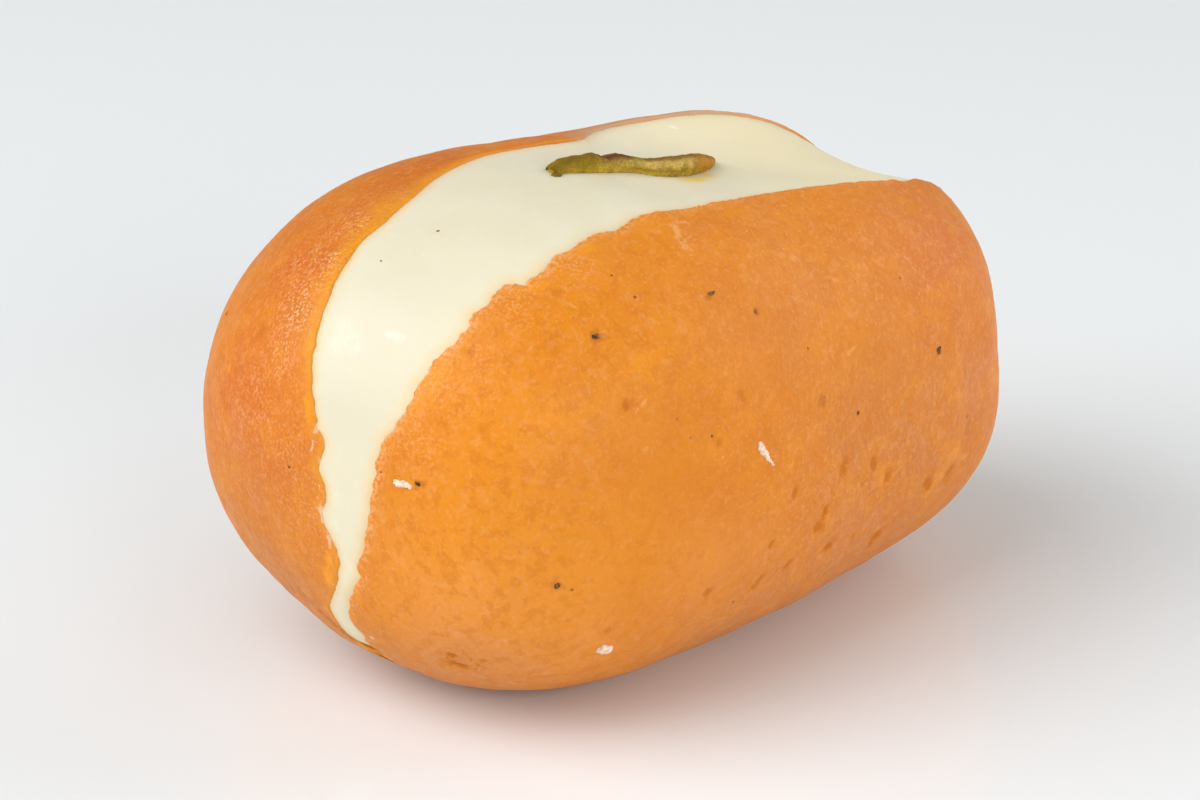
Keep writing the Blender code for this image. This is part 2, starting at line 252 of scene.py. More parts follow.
# Marks on the crust: place in the picture, in pixels; length and width in millimetres, turn in the picture,
# and strength.
PITS = (
    (877, 536, 1.49, 1.02, 55, 1), (827, 549, 1.08, 0.77, 20, 1), (818, 527, 1.22, 1.1, 60, 1),
    (826, 511, 0.94, 0.68, 60, 0.96), (927, 485, 0.94, 1.02, 0, 1), (843, 470, 1.22, 0.85, 75, 0.84),
    (846, 459, 0.68, 0.59, 60, 0.72), (874, 464, 1.35, 0.77, -60, 0.84), (888, 477, 1.22, 0.68, 80, 0.96),
    (949, 474, 1.22, 1.19, 30, 0.84), (795, 493, 1.08, 0.68, 80, 0.84), (772, 546, 0.68, 0.59, 45, 0.72),
    (788, 566, 1.35, 0.59, 50, 0.84), (758, 582, 1.22, 0.51, 50, 0.96), (708, 592, 0.68, 0.68, 0, 0.72),
    (720, 443, 1.08, 1.02, 60, 0.72), (742, 396, 0.81, 0.94, 0, 0.6), (627, 405, 0.81, 0.85, 0, 0.84),
    (853, 537, 0.68, 0.51, 0, 0.6), (863, 485, 0.54, 0.51, 0, 0.6), (452, 656, 0.68, 0.59, -15, 0.96),
    (458, 665, 1.89, 0.59, -20, 0.96), (484, 662, 0.68, 0.59, 0, 0.72), (608, 630, 0.54, 0.51, 0, 0.6),
    (470, 352, 0.68, 0.68, 0, 0.48), (556, 292, 0.81, 0.68, 0, 0.36), (262, 330, 1.22, 0.85, 60, 0.6),
    (240, 370, 1.08, 0.85, 70, 0.48),
)
GOLDEN = (
    (311, 344, 1.1, 0.9, 90, 0.9), (308, 405, 1.6, 0.6, 90, 0.8), (330, 560, 1.4, 0.6, 80, 0.9),
    (328, 580, 1.2, 0.7, 70, 0.8), (315, 365, 1.5, 0.5, 90, 0.5), (395, 205, 3.2, 0.9, 40, 0.5),
    (355, 245, 3.0, 0.8, 60, 0.7), (330, 285, 2.6, 0.7, 70, 0.7), (420, 400, 2.0, 1.0, 60, 0.4),
    (438, 375, 2.0, 0.9, 55, 0.4), (585, 250, 2.5, 0.8, 35, 0.4), (540, 285, 2.5, 0.8, 30, 0.4),
    (350, 610, 2.0, 0.5, 90, 0.4), (356, 590, 2.0, 0.5, 80, 0.4), (645, 360, 2.5, 1.6, 20, 0.3),
    (560, 420, 3.0, 1.6, -20, 0.25), (843, 470, 1.8, 0.9, 75, 0.35), (882, 472, 2.4, 1.3, -70, 0.35),
    (936, 481, 2.8, 1.2, 20, 0.35), (956, 452, 2.2, 0.9, 70, 0.3), (822, 523, 2.2, 1.0, 60, 0.3),
    (720, 443, 1.4, 1.1, 60, 0.35), (870, 540, 1.8, 0.8, 50, 0.25),
)
SMEARS = (
    (316, 429, 1.1, 0.45, 40, 0.5), (321, 470, 1.4, 0.35, 90, 0.6), (322, 515, 1.6, 0.5, 85, 0.7),
    (329, 541, 0.9, 0.3, 70, 0.6), (349, 563, 0.7, 0.4, 80, 0.6), (374, 445, 0.8, 0.3, 60, 0.4),
    (393, 426, 0.6, 0.3, 30, 0.4), (372, 637, 0.5, 0.3, 20, 0.8),
)
PALE_MARKS = (
    (676, 232, 2.2, 0.5, 85, 0.7), (683, 222, 0.9, 0.4, 40, 0.6), (686, 247, 0.8, 0.6, 0, 0.6),
    (643, 403, 0.8, 0.3, 45, 0.6), (636, 412, 0.5, 0.25, 60, 0.5), (852, 350, 0.9, 0.4, 30, 0.5),
    (792, 258, 0.8, 0.5, 0, 0.4), (835, 280, 0.6, 0.4, 0, 0.4), (645, 449, 0.6, 0.35, 0, 0.4),
    (722, 457, 0.4, 0.4, 0, 0.4), (964, 458, 0.8, 0.35, 0, 0.6), (967, 480, 0.5, 0.3, 80, 0.6),
    (793, 560, 0.9, 0.3, 60, 0.5), (505, 290, 0.8, 0.3, 30, 0.4), (572, 305, 0.8, 0.3, -30, 0.4),
    (505, 640, 0.6, 0.5, 0, 0.35), (459, 634, 0.7, 0.5, 0, 0.35),
)
# Dark marks: stains, most round the specks, and a darker strip low on the left lobe; the one at (373, 648) is
# painted shadow in the crack under the right lobe's edge, where the cream ends.
STAINS_AND_SHADOW = (
    (822, 402, 0.9, 0.9, 0, 0.5), (967, 430, 0.9, 0.6, 60, 0.4), (596, 337, 1.1, 0.9, 0, 0.45),
    (708, 297, 0.8, 0.5, 40, 0.5), (756, 312, 0.7, 0.6, 0, 0.4), (418, 484, 0.8, 0.7, 0, 0.5),
    (557, 586, 0.9, 0.8, 0, 0.4), (373, 648, 1.9, 0.35, -25, 1.0), (350, 637, 1.6, 0.35, -42, 0.8),
    (338, 627, 1.8, 0.4, -42, 0.7), (322, 613, 2.0, 0.4, -44, 0.6), (303, 594, 2.2, 0.4, -46, 0.45),
    (338, 598, 1.2, 0.25, 80, 0.4),
)
CRUST_MARKS = (("soaked", PITS), ("shade", STAINS_AND_SHADOW), ("smear", SMEARS), ("golden", GOLDEN), ("pale", PALE_MARKS))

# Broad tones of the crust: place in the picture, reach in millimetres, and strength.
# Painted light: the crust is brighter where its front faces the lamps.
GLOWS = (
    (500, 560, 11.0, 0.9), (520, 430, 9.0, 0.7), (600, 340, 8.0, 0.55), (470, 360, 5.0, 0.5),
    (300, 520, 6.0, 0.25),
)
# Painted light: the crust is paler low at the front, where light comes up from the floor.
LIGHTS = (
    (470, 640, 6.5, 0.9), (560, 650, 5.0, 0.6), (700, 570, 5.0, 0.4), (400, 560, 4.0, 0.3),
)
TANS = (
    (300, 260, 9.0, 0.8), (250, 400, 9.0, 0.8), (420, 170, 8.0, 0.8), (560, 140, 8.0, 0.6),
    (950, 250, 7.0, 0.75), (985, 350, 5.0, 0.5), (975, 440, 4.0, 0.5), (880, 530, 4.0, 0.4),
)
BLUSHES = (
    (900, 450, 10.0, 0.75), (860, 530, 9.0, 0.8), (970, 400, 4.5, 0.7), (760, 600, 8.0, 0.6),
    (820, 330, 7.0, 0.2), (245, 480, 5.0, 0.4), (290, 590, 6.0, 0.7), (470, 670, 5.0, 0.5),
)

# Where the crust is smoothest.
EVEN = (
    (660, 480, 8.0, 0.8), (620, 590, 7.0, 0.7), (720, 560, 6.0, 0.7), (760, 350, 7.0, 0.6),
    (870, 370, 6.0, 0.5),
)

# Tones of the cream: painted shade where it faces the light, and painted highlights, gleams of the lamps on it.
# Painted shade: the cream is darker where it faces the lamps.
LIT = (
    (375, 340, 6.5, 0.85), (350, 400, 5.0, 0.8), (400, 290, 4.0, 0.5),
)
# Painted highlights: gleams of the lamps on the cream.
GLEAMS = (
    (388, 334, 0.2, 0.45), (392, 335, 0.22, 0.5), (397, 336.2, 0.22, 0.5), (402, 337.6, 0.2, 0.45),
    (344, 328, 0.7, 0.2), (350, 338, 0.7, 0.22), (355, 349, 0.6, 0.15), (338, 344, 0.7, 0.2),
    (673, 127, 0.25, 0.9), (676, 128, 0.2, 0.8),
)
BLEEDS = (
    (682, 180, 0.5, 0.6), (690, 180.5, 0.7, 0.9), (698, 179.5, 0.85, 1.0), (707, 175.5, 0.65, 0.85),
    (491, 189, 0.35, 0.14), (420, 268, 0.45, 0.1), (392, 352, 0.5, 0.1), (347, 588, 0.35, 0.25),
)

# Where the crust is grainiest, and where painted glints, highlights of the lamps on its grains, lie.
GRAINY = (
    (338, 262, 2.0, 1.0), (316, 288, 2.1, 1.0), (298, 314, 2.2, 1.0), (284, 345, 2.2, 0.6),
    (368, 228, 2.4, 0.8), (398, 200, 2.4, 0.45), (345, 225, 2.6, 0.5), (305, 262, 2.6, 0.6),
    (250, 400, 3.5, 0.3), (285, 430, 3.5, 0.3), (300, 500, 3.5, 0.3), (505, 290, 3.0, 0.35),
    (560, 262, 2.5, 0.45), (450, 375, 3.0, 0.3), (415, 440, 2.5, 0.3),
)

# Where painted sparkles, highlights on grains of sugar, lie.
SPARKLES = (
    (770, 235, 3.5, 1.0), (700, 262, 2.5, 0.9), (840, 225, 3.0, 0.6), (690, 290, 1.5, 0.8),
    (800, 290, 2.5, 0.5), (300, 530, 2.0, 0.8),
)

# The crust's tones that waver: the middle, swing, size and shift of the noise in each.
CRUST_TONES = (
    ("grainy", GRAINY, 0.75, 0.7, 1.5, 12.0), ("sparkle", SPARKLES, 0.7, 0.9, 1.6, 14.0),
    ("glow", GLOWS, 0.8, 0.3, 5.0, 2.0), ("light", LIGHTS, 0.85, 0.3, 4.0, 16.0),
    ("tan", TANS, 0.8, 0.3, 4.0, 4.0), ("blush", BLUSHES, 0.85, 0.3, 3.0, 6.0),
)

# Direction towards the side that the picture shows, and how far the crust turns away from it to be the
# unseen side, which is lighter and more even, with weaker wrinkles and less painted shade in their troughs.
UNSEEN_FROM = (-0.70, -0.67, 0.25)
UNSEEN_TURN = (0.0, -0.4)
UNSEEN_LIGHT = 0.5
UNSEEN_EVEN = 0.8
LOST_STREAKS = 0.4
LOST_FURROW_SHADE = 0.75

# The slit's rim: how its breadth wavers, from where to where the left rim is browned, by longitude, and how
# far in; how strong the right rim is; and the crumbly skin beside the rim, whose tone wavers like those
# above.
RIM_WAVES = ((1.6, 0.5), (0.6, 0.4))
RIM_SHIFT = 5.0
FAR_RIM_FROM = (25.0, 25.0)
FAR_RIM_UP_TO = (94.0, -12.0)
FAR_RIM_REACH = 1.2
RIGHT_RIM_SHARE = 0.45
CRUMBLY_REACH = 0.6
LEFT_CRUMBLY_SHARE = 0.4
CRUMBLY = (0.7, 0.6, 0.9, 9.0)

# The cream's tones that waver in the same way, how far in the crust stains it, and where the far cream begins.
STAIN_REACH = 0.6
STAINED = (0.75, 0.5, 1.5, 8.0)
GLEAMING = (0.8, 1.2, 0.3, 3.0)
BLEEDING = (1.0, 0.5, 0.9, 2.0)
# Painted light: the cream past the nut is lighter, from where this rise begins and over its length.
FAR_CREAM = (-4.0, 22.0)

# The nut sliver's outline in the picture: its lower edge, where it meets the cream, and its upper edge.
SLIVER_FOOT = (
    (546, 169), (549, 172.2), (554, 174.6), (562, 174.4), (570, 173.4), (594, 173.4), (619, 173),
    (637, 173.6), (646, 175.4), (657, 177), (673, 177.7), (689, 176.7), (698, 174.6), (705, 172.4),
    (710, 169.8), (713, 167), (715, 163.5),
)
SLIVER_CREST = (
    (546, 166.6), (548, 163), (552, 159.6), (558, 156.6), (567, 154.4), (579, 153), (587, 151.4),
    (593, 152.6), (597, 155), (602, 153.2), (611, 151.9), (620, 153.4), (632, 155.4), (641, 157),
    (652, 156.4), (669, 154.8), (681, 152.8), (693, 151.6), (703, 153.2), (709, 155), (713, 157.4),
    (715, 160.5),
)
SLIVER_DRIP = (557, 175.6, 0.8, 0.6, 0.5)
SLIVER_STATIONS = 230
SLIVER_SIDES = 64
SLIVER_SUNK = 0.15
SLIVER_SQUARENESS = 3.4
SLIVER_FOLD = 0.22
SLIVER_WAVES = ((5, 1.5, 0.10), (2, 3.0, 0.05), (1.6, 9.0, 0.05))

# Tones of the sliver: round it, middle and reach in degrees; along it, where each rises, in pixels.
SLIVER_ROUND = {
    "top": (96, 40), "khaki": (105, 42), "heart": (148, 38), "fold": (205, 16), "low": (210, 48),
    "below": (215, 34),
}
SLIVER_ALONG = {
    "skin": ((599, 4), (640, -10)), "khaki": ((604, -10),), "heart": ((590, 50), (704, -16)),
    "fold": ((618, 16), (700, -16)), "low": ((588, 14),), "brown half": ((640, 20),), "tip": ((688, 16),),
}

# Stage, in metres and degrees: the floor, and each light's direction from the sweet.
FLOOR_HALF = 3.0
FLOOR_DROP = 0.00002
LAMP_SIZE = 0.8
LAMP_DISTANCE = 0.9
LAMP_AIM = 0.018
LAMPS = (("key", -103, 50), ("left", -125, 30), ("front", -12, 8), ("low", 60, 8), ("side", 80, 30))


def finish_millimetres(points):
    """Points of the form, in millimetres from its centre, in metres in the solids' frame."""
    return (points - np.array([*MIDDLE, 0.0])) * MM


def in_place(points):
    """Points of the form in metres in the solids' frame, moved by its slight swells and hollows."""
    places = finish_millimetres(points)
    return places + nudge_at(places)


def smooth_step(value):
    held = np.clip(value, 0.0, 1.0)
    return held * held * (3 - 2 * held)


def rising(value, start, span):
    """0 up to the start and 1 from a span further on; a span below 0 runs the other way."""
    return smooth_step((value - start) / span)


def fading(away, reach):
    """1 in the middle, and nearly 0 from twice the reach."""
    return np.exp(-((away / reach) ** 2))


def length_of(vectors):
    return np.linalg.norm(vectors, axis=-1, keepdims=True)


def unit(vectors):
    return vectors / length_of(vectors)


def noise_at(places, size, shift=0.0):
    """Smooth noise from -1 to 1 at places in millimetres, with lumps of this size."""
    return np.array([noise.noise(Vector(place)) for place in np.asarray(places, float) / size + shift])


def uneven(places, middle, swing, size, shift):
    """A share that wavers about its middle from place to place."""
    return middle + swing * noise_at(places, size, shift)


def grains_at(places, grains, shift=0.0):
    """Sum of smooth noise at several sizes, each with its own height."""
    return sum(
        height * noise_at(places, size, shift + NEXT_NOISE * number)
        for number, (size, height) in enumerate(grains)
    )


def directions(longitude, latitude):
    turn, tilt = np.radians(longitude), np.radians(latitude)
    return np.stack([np.cos(turn) * np.cos(tilt), np.sin(tilt), np.sin(turn) * np.cos(tilt)], -1)


def drawn_round(vectors):
    return unit(vectors / np.array(SWELL_STRETCH))


def swelling(vectors):
    """How far the broad swells move the outer form in each direction."""
    ball = drawn_round(vectors)
    return sum(
        height * np.exp(-(1 - ball @ drawn_round(directions(longitude, latitude))) / SWELL_SPREAD**2)
        for longitude, latitude, height in SWELLS
    )


def lumps(vectors):
    return sum(height * noise_at(vectors * (LUMP_BALL / size), 1.0) for size, height in LUMPS)


def outer_points(longitude, latitude):
    """Points of the outer form, in millimetres, in the directions given."""
    vectors = directions(longitude, latitude).reshape(-1, 3)
    along, across, up = np.abs(vectors).T
    above = vectors[:, 2] > 0
    fullness = np.where(vectors[:, 0] < 0, NEAR_FULLNESS, FAR_FULLNESS)
    squareness = np.where(above, CROWN_FULLNESS, KEEL_FULLNESS)
    half_width = np.where(vectors[:, 1] > 0, LEFT, RIGHT)
    half_height = np.where(above, RISE, DROP)
    section = (across / half_width) ** squareness + (up / half_height) ** squareness
    section = np.maximum(section, LEAST) ** (1 / squareness)
    reach = (section**fullness + (along / HALF_LENGTH) ** fullness) ** (-1 / fullness)
    points = vectors * (reach + swelling(vectors) + lumps(vectors))[:, None]
    along = points[:, 0] / HALF_LENGTH
    points[:, 1] *= 1 + along * np.where(points[:, 1] > 0, LEFT_TAPER, RIGHT_TAPER)
    points[:, 2] *= 1 - along * np.where(above, TOP_FALL, 0.0)
    points[:, 2] = np.maximum(points[:, 2] + DROP - SINK, 0.0)
    return points.reshape(*np.shape(longitude), 3)


def points_at_width(longitude, width):
    """Points of the outer form at these longitudes whose y is the width asked for, and their latitudes."""
    low = np.full(len(longitude), -WIDEST_LATITUDE)
    high = np.full(len(longitude), WIDEST_LATITUDE)
    for _ in range(SEARCH_STEPS):
        middle = (low + high) / 2
        beyond = outer_points(longitude, middle)[:, 1] > width
        high = np.where(beyond, middle, high)
        low = np.where(beyond, low, middle)
    middle = (low + high) / 2
    return outer_points(longitude, middle), middle


def curve_through(stations, at):
    """Smooth curve through the stations (place, value), read at each place in `at`."""
    places, values = np.array(stations, float).T
    slopes = np.gradient(values, places)
    index = np.clip(np.searchsorted(places, at, side="right") - 1, 0, len(places) - 2)
    span = places[index + 1] - places[index]
    step = np.clip((at - places[index]) / span, 0, 1)
    rise = values[index + 1] - values[index]
    bend = step * (1 - step) ** 2 * slopes[index] - step**2 * (1 - step) * slopes[index + 1]
    return values[index] + rise * step**2 * (3 - 2 * step) + bend * span


def over_the_top(longitude):
    """Longitudes counted from -90, underneath, to 270, underneath again, so that the slit is one run."""
    return (np.asarray(longitude, float) + 90) % 360 - 90


def slit_edges(longitude, ragged=True):
    """The y of the slit's left and right edge, and where the slit is open."""
    place = over_the_top(longitude)
    stations = np.array([(-90, SEAM, -SEAM), *reversed(SLIT), (270, SEAM, -SEAM)])
    left, right = (curve_through(stations[:, [0, column]], place) for column in (1, 2))
    opened = (place < SLIT[0][0]) & (place > SLIT[-1][0])
    if ragged:
        along = np.radians(place) * HALF_LENGTH / RAGGED_LENGTH
        for side, edge in zip(RAGGED_SIDES, (left, right)):
            edge += opened * [RAGGED * noise.noise(Vector((float(step), side, 0.0))) for step in along]
    return left, right, opened


@functools.lru_cache(maxsize=1)
def nudge_spots():
    """Each nudge's middle and push, in metres, and its reach."""
    found = []
    for x, y, reach, height in NUDGES:
        place = place_on(outer_form(False), (x, y))
        found.append((np.array(place.translation), np.array(place.col[2].to_3d()) * height * MM, reach * MM))
    return found


def nudge_at(places):
    """How far the slight swells and hollows move each place, in metres."""
    return sum(fading(length_of(places - middle), reach) * push for middle, push, reach in nudge_spots())


@functools.lru_cache(maxsize=2)
def outer_form(swelled=True):
    """The outer form before the slit is cut, as a surface to place things on."""
    longitude = np.arange(0, 360, FORM_STEP)
    latitude = np.arange(-90, 90 + FORM_STEP, FORM_STEP)
    grid = outer_points(*np.meshgrid(longitude, latitude, indexing="ij"))
    grid = in_place(grid) if swelled else finish_millimetres(grid)
    number = np.arange(grid[..., 0].size).reshape(grid.shape[:2])
    after = np.roll(number, -1, axis=0)
    faces = np.stack([number[:, :-1], after[:, :-1], after[:, 1:], number[:, 1:]], -1).reshape(-1, 4)
    return BVHTree.FromPolygons(grid.reshape(-1, 3).tolist(), faces.tolist())


@functools.lru_cache(maxsize=2)
def traced(pixels):
    """Longitudes and widths of a border traced in the picture, on the outer form."""
    found = []
    for pixel in pixels:
        shown = np.array(place_on(outer_form(), pixel).translation)
        spot = Vector((shown - nudge_at(shown)) / MM)
        along, width, up = spot.x + MIDDLE[0], spot.y + MIDDLE[1], spot.z - (DROP - SINK)
        if up > 0:
            up /= 1 - along / HALF_LENGTH * TOP_FALL
        found.append((float(over_the_top(math.degrees(math.atan2(up, along)))), width))
    return np.array(sorted(found)).T


def borders(longitude, torn=True):
    """The slit's borders: as traced where they show, torn to crumbs everywhere, and where the slit is open."""
    left, right, opened = slit_edges(longitude)
    place = over_the_top(longitude)
    along = np.radians(place) * HALF_LENGTH
    sides = (1, LEFT_BORDER, LEFT_TORN, left), (-1, RIGHT_BORDER, RIGHT_TORN, right)
    for side, pixels, shares, edge in sides:
        at, width = traced(pixels)
        inside = np.minimum((place - at[0]) / FAR_BLEND, (at[-1] - place) / NEAR_BLEND)
        edge += opened * smooth_step(inside + 0.5) * (np.interp(place, at, width) - edge)
        if torn:
            where = np.stack([along, np.full(len(along), TORN_APART * side), np.zeros(len(along))], 1)
            crumbs = sum(
                depth * (2 * np.abs(noise_at(where, size, NEXT_NOISE * number)) - UNTORN)
                for number, (size, depth) in enumerate(CRUMBS_TORN)
            )
            edge -= side * opened * crumbs * curve_through(shares, place)
    return left, right, opened


def slit_root(longitude):
    """The bottom of the slit, which runs back under the sweet as its edges run over the top."""
    place = over_the_top(longitude)
    near, far = SLIT[0][0], SLIT[-1][0]
    share = (near - place) / (near - far)
    surface = outer_points(near + share * (360 + far - near), np.zeros(len(place)))
    inward = unit(np.array([0.0, 0.0, DROP - SINK]) - surface)
    from_end = np.minimum(near - place, place - far)
    return surface + inward * (HINGE * smooth_step(from_end / HINGE_RISE))[:, None]


def lip_at(longitude, edge, side):
    """The slit's bottom, its lip from its foot over the edge to past it, and the latitudes of the last two."""
    root = slit_root(longitude)
    on_edge, edge_latitude = points_at_width(longitude, edge)
    past_lip, lip_latitude = points_at_width(longitude, edge + side * LIP)
    down = root - on_edge
    lip_foot = on_edge + down * np.minimum(LIP / length_of(down), 0.5)
    return root, lip_foot, on_edge, past_lip, edge_latitude, lip_latitude


def side_rows(longitude, edge, side, opened):
    """One side's points at these longitudes, from the slit's bottom over its lip to the side's middle."""
    root, lip_foot, on_edge, past_lip, edge_latitude, lip_latitude = lip_at(longitude, edge, side)
    middle = np.where(np.cos(np.radians(longitude)) < 0, sum(SLIT[0][1:]) / 2, sum(SLIT[-1][1:]) / 2)
    inner_rows = WALL_ROWS + LIP_ROWS
    rows = []
    for row in range(inner_rows + 1):
        uncut, _ = points_at_width(longitude, middle + (edge - middle) * row / inner_rows)
        if row <= WALL_ROWS:
            wall = root + (lip_foot - root) * row / WALL_ROWS
        else:
            share = (row - WALL_ROWS) / LIP_ROWS
            wall = lip_foot * (1 - share) ** 2 + on_edge * 2 * share * (1 - share) + past_lip * share**2
        rows.append(np.where(opened[:, None], wall, uncut))
    start = np.where(opened, lip_latitude, edge_latitude)
    for row in range(1, OUTER_ROWS + 1):
        rows.append(outer_points(longitude, start + (side * 90 - start) * (row / OUTER_ROWS)))
    return np.array(rows)


def crust_grid():
    """The crust's points, in rows from the left side's middle over the slit to the right side's middle."""
    longitude = np.interp(np.arange(MERIDIANS) / MERIDIANS, *zip(*MERIDIAN_STOPS))
    left, right, opened = borders(longitude)
    left_rows = side_rows(longitude, left, 1, opened)
    right_rows = side_rows(longitude, right, -1, opened)
    return np.concatenate([left_rows[::-1], right_rows[1:]]), longitude


def camera_axes():
    back = (EYE - AIM).normalized()
    right = Vector((0, 0, 1)).cross(back).normalized()
    return right, back.cross(right), back


def sight(pixel):
    """Direction from the camera through a pixel of the picture."""
    right, up, back = camera_axes()
    across = (pixel[0] - PICTURE[0] / 2) / FOCAL
    above = (PICTURE[1] / 2 - pixel[1]) / FOCAL
    return (right * across + up * above - back).normalized()


def surface_of(name):
    mesh = bpy.data.objects[name].data
    places = [vertex.co for vertex in mesh.vertices]
    return BVHTree.FromPolygons(places, [face.vertices for face in mesh.polygons])


def place_on(surface, pixel, turn=0.0):
    """Where a pixel of the picture falls on a surface, as a matrix with Z outwards and X along the turn."""
    ray = sight(pixel)
    spot, normal, _, _ = surface.ray_cast(EYE, ray)
    if spot is None:
        raise RuntimeError(f"nothing lies at pixel {pixel} of the picture")
    if normal.dot(ray) > 0:
        normal = -normal
    right, up, _ = camera_axes()
    angle = math.radians(turn)
    along = right * math.cos(angle) + up * math.sin(angle)
    along = (along - normal * along.dot(normal)).normalized()
    made = Matrix((along, normal.cross(along), normal)).transposed().to_4x4()
    made.translation = spot
    return made


def faces_outwards(places, faces):
    """The faces, turned over if they look inwards."""
    first, second, third = (places[[face[corner] for face in faces]] for corner in range(3))
    inside = np.einsum("ij,ij->i", first, np.cross(second, third)).sum() < 0
    return [face[::-1] for face in faces] if inside else faces


def closed_tube(points, sides):
    """A tube's points, ring after ring, with the middles of its end rings added, and its faces."""
    count, last = len(points), len(points) - sides
    faces = []
    for side in range(sides):
        after = (side + 1) % sides
        for start in range(0, last, sides):
            faces.append((start + side, start + sides + side, start + sides + after, start + after))
        faces.append((count, side, after))
        faces.append((count + 1, last + after, last + side))
    return np.concatenate([points, [points[:sides].mean(0), points[last:].mean(0)]]), faces


def normals_of(places, faces):
    """Unit normal at each point, from the faces round it."""
    corners = np.array([face if len(face) == 4 else (*face, face[-1]) for face in faces]).T
    first, second, third, fourth = (places[corner] for corner in corners)
    flat = np.cross(third - first, fourth - second)
    total = np.zeros_like(places)
    for corner in corners:
        np.add.at(total, corner, flat)
    return total / np.maximum(length_of(total), LEAST)


def add_object(name, data):
    made = bpy.data.objects.new(name, data)
    bpy.context.scene.collection.objects.link(made)
    return made


def new_piece(name, places, faces, finish, node):
    """A smooth mesh object from points in metres, riding on the sweet and standing for its node."""
    mesh = bpy.data.meshes.new(name)
    mesh.from_pydata([tuple(place) for place in places], [], faces)
    mesh.validate()
    mesh.shade_smooth()
    mesh.materials.append(finish)
    piece = add_object(name, mesh)
    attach(piece, BODY)
    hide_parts(node)
    return piece


def add_masks(piece, masks):
    """Gives each point of a piece its masks, from 0 to 1, for the material to read."""
    for name, values in masks.items():
        mask = piece.data.attributes.new(name, "FLOAT", "POINT")
        mask.data.foreach_set("value", np.clip(values, 0, 1).astype(np.float32))


def add_marks(piece, marks):
    """Gives each point of a piece its places in the marks, for the material to read."""
    for name, values in marks.items():
        mark = piece.data.attributes.new(name, "FLOAT_VECTOR", "POINT")
        mark.data.foreach_set("vector", values.astype(np.float32).ravel())


class Nodes:
    """Short hand for building a node tree: each call adds a node and links what it is given."""

    def __init__(self, tree):
        self.tree = tree

    def add(self, kind, inputs=None, **settings):
        node = self.tree.nodes.new("ShaderNode" + kind)
        for name, value in settings.items():
            setattr(node, name, value)
        for name, value in (inputs or {}).items():
            self.give(node.inputs[name], value)
        return node

    def give(self, socket, value):
        if isinstance(value, bpy.types.NodeSocket):
            self.tree.links.new(value, socket)
        elif socket.type == "RGBA":
            socket.default_value = (*value, 1.0)
        else:
            socket.default_value = value

    def maths(self, operation, first, second=0.0):
        return self.add("Math", {0: first, 1: second}, operation=operation).outputs[0]

    def moved(self, operation, vector, by):
        return self.add("VectorMath", {0: vector, 1: by}, operation=operation).outputs[0]

    def scaled(self, vector, by):
        return self.add("VectorMath", {0: vector, "Scale": by}, operation="SCALE").outputs[0]

    def noise(self, place, size, **inputs):
        inputs = {"Vector": place, "Scale": self.maths("DIVIDE", 1.0, size), **inputs}
        return self.add("TexNoise", inputs).outputs["Fac"]

    def ramp(self, value, low, high, to_low=0.0, to_high=1.0):
        given = zip(("Value", "From Min", "From Max", "To Min", "To Max"), (value, low, high, to_low, to_high))
        return self.add("MapRange", dict(given), interpolation_type="SMOOTHSTEP").outputs["Result"]

    def mask(self, name, output="Fac"):
        return self.add("Attribute", attribute_name=name).outputs[output]

    def laid_over(self, colour, layers):
        """The colour with each layer over it in turn: mask, strength and colour."""
        for mask, strength, over in layers:
            inputs = {"Factor": self.maths("MULTIPLY", mask, strength), "A": colour, "B": over}
            colour = self.add("Mix", inputs, data_type="RGBA", clamp_factor=True).outputs["Result"]
        return colour

    def effect(self, group, *values, place=None):
        """Places an effect's group, by its inputs' order, in millimetres over the piece or at a place."""
        node = self.add("Group", node_tree=group())
        place = self.place if place is None else place
        for socket, value in zip(node.inputs, (place, *values)):
            self.give(socket, value)
        return node.outputs[0]


def shared_effect(name, output, **inputs):
    """Makes the function below it fill a shader node group with these inputs, which is built once."""

    def built_by(fill):
        def group():
            if name not in bpy.data.node_groups:
                made = bpy.data.node_groups.new(name, "ShaderNodeTree")
                for label, default in inputs.items():
                    kind = "NodeSocketVector" if default is None else "NodeSocketFloat"
                    label = label.replace("_", " ")
                    socket = made.interface.new_socket(name=label, in_out="INPUT", socket_type=kind)
                    if default is not None:
                        socket.default_value = default
                made.interface.new_socket(name=output, in_out="OUTPUT", socket_type="NodeSocketFloat")
                nodes = Nodes(made)
                start, end = made.nodes.new("NodeGroupInput"), made.nodes.new("NodeGroupOutput")
                nodes.give(end.inputs[output], fill(nodes, *start.outputs[: len(inputs)]))
            return bpy.data.node_groups[name]

        return group

    return built_by


@shared_effect("blotches", "Mask", Place=None, Size=3.0, Low=0.35, High=0.65, Detail=3.0)
def blotches(nodes, place, size, low, high, detail):
    """Smooth noise of one size, stretched to a mask from 0 to 1."""
    return nodes.ramp(nodes.noise(place, size, Detail=detail, Roughness=0.55), low, high)


@shared_effect("flecks", "Mask", Place=None, Size=1.0, Share=0.3, Reach=0.3)
def flecks(nodes, place, size, share, reach):
    """Small ragged spots in some cells of a random pattern."""
    scale = nodes.maths("DIVIDE", 1.0, size)
    ragged = nodes.add("TexNoise", {"Vector": place, "Scale": nodes.maths("MULTIPLY", scale, 4.0)})
    pushed = nodes.scaled(ragged.outputs["Color"], nodes.maths("MULTIPLY", size, 0.45))
    cells = nodes.add("TexVoronoi", {"Vector": nodes.moved("ADD", place, pushed), "Scale": scale})
    picked = nodes.add("SeparateColor", {"Color": cells.outputs["Color"]})
    chosen = nodes.maths("LESS_THAN", picked.outputs[0], share)
    radius = nodes.maths("MULTIPLY", reach, nodes.ramp(picked.outputs[1], 0.0, 1.0, 0.4, 1.0))
    return nodes.maths("MULTIPLY", nodes.ramp(cells.outputs["Distance"], radius, 0.0), chosen)


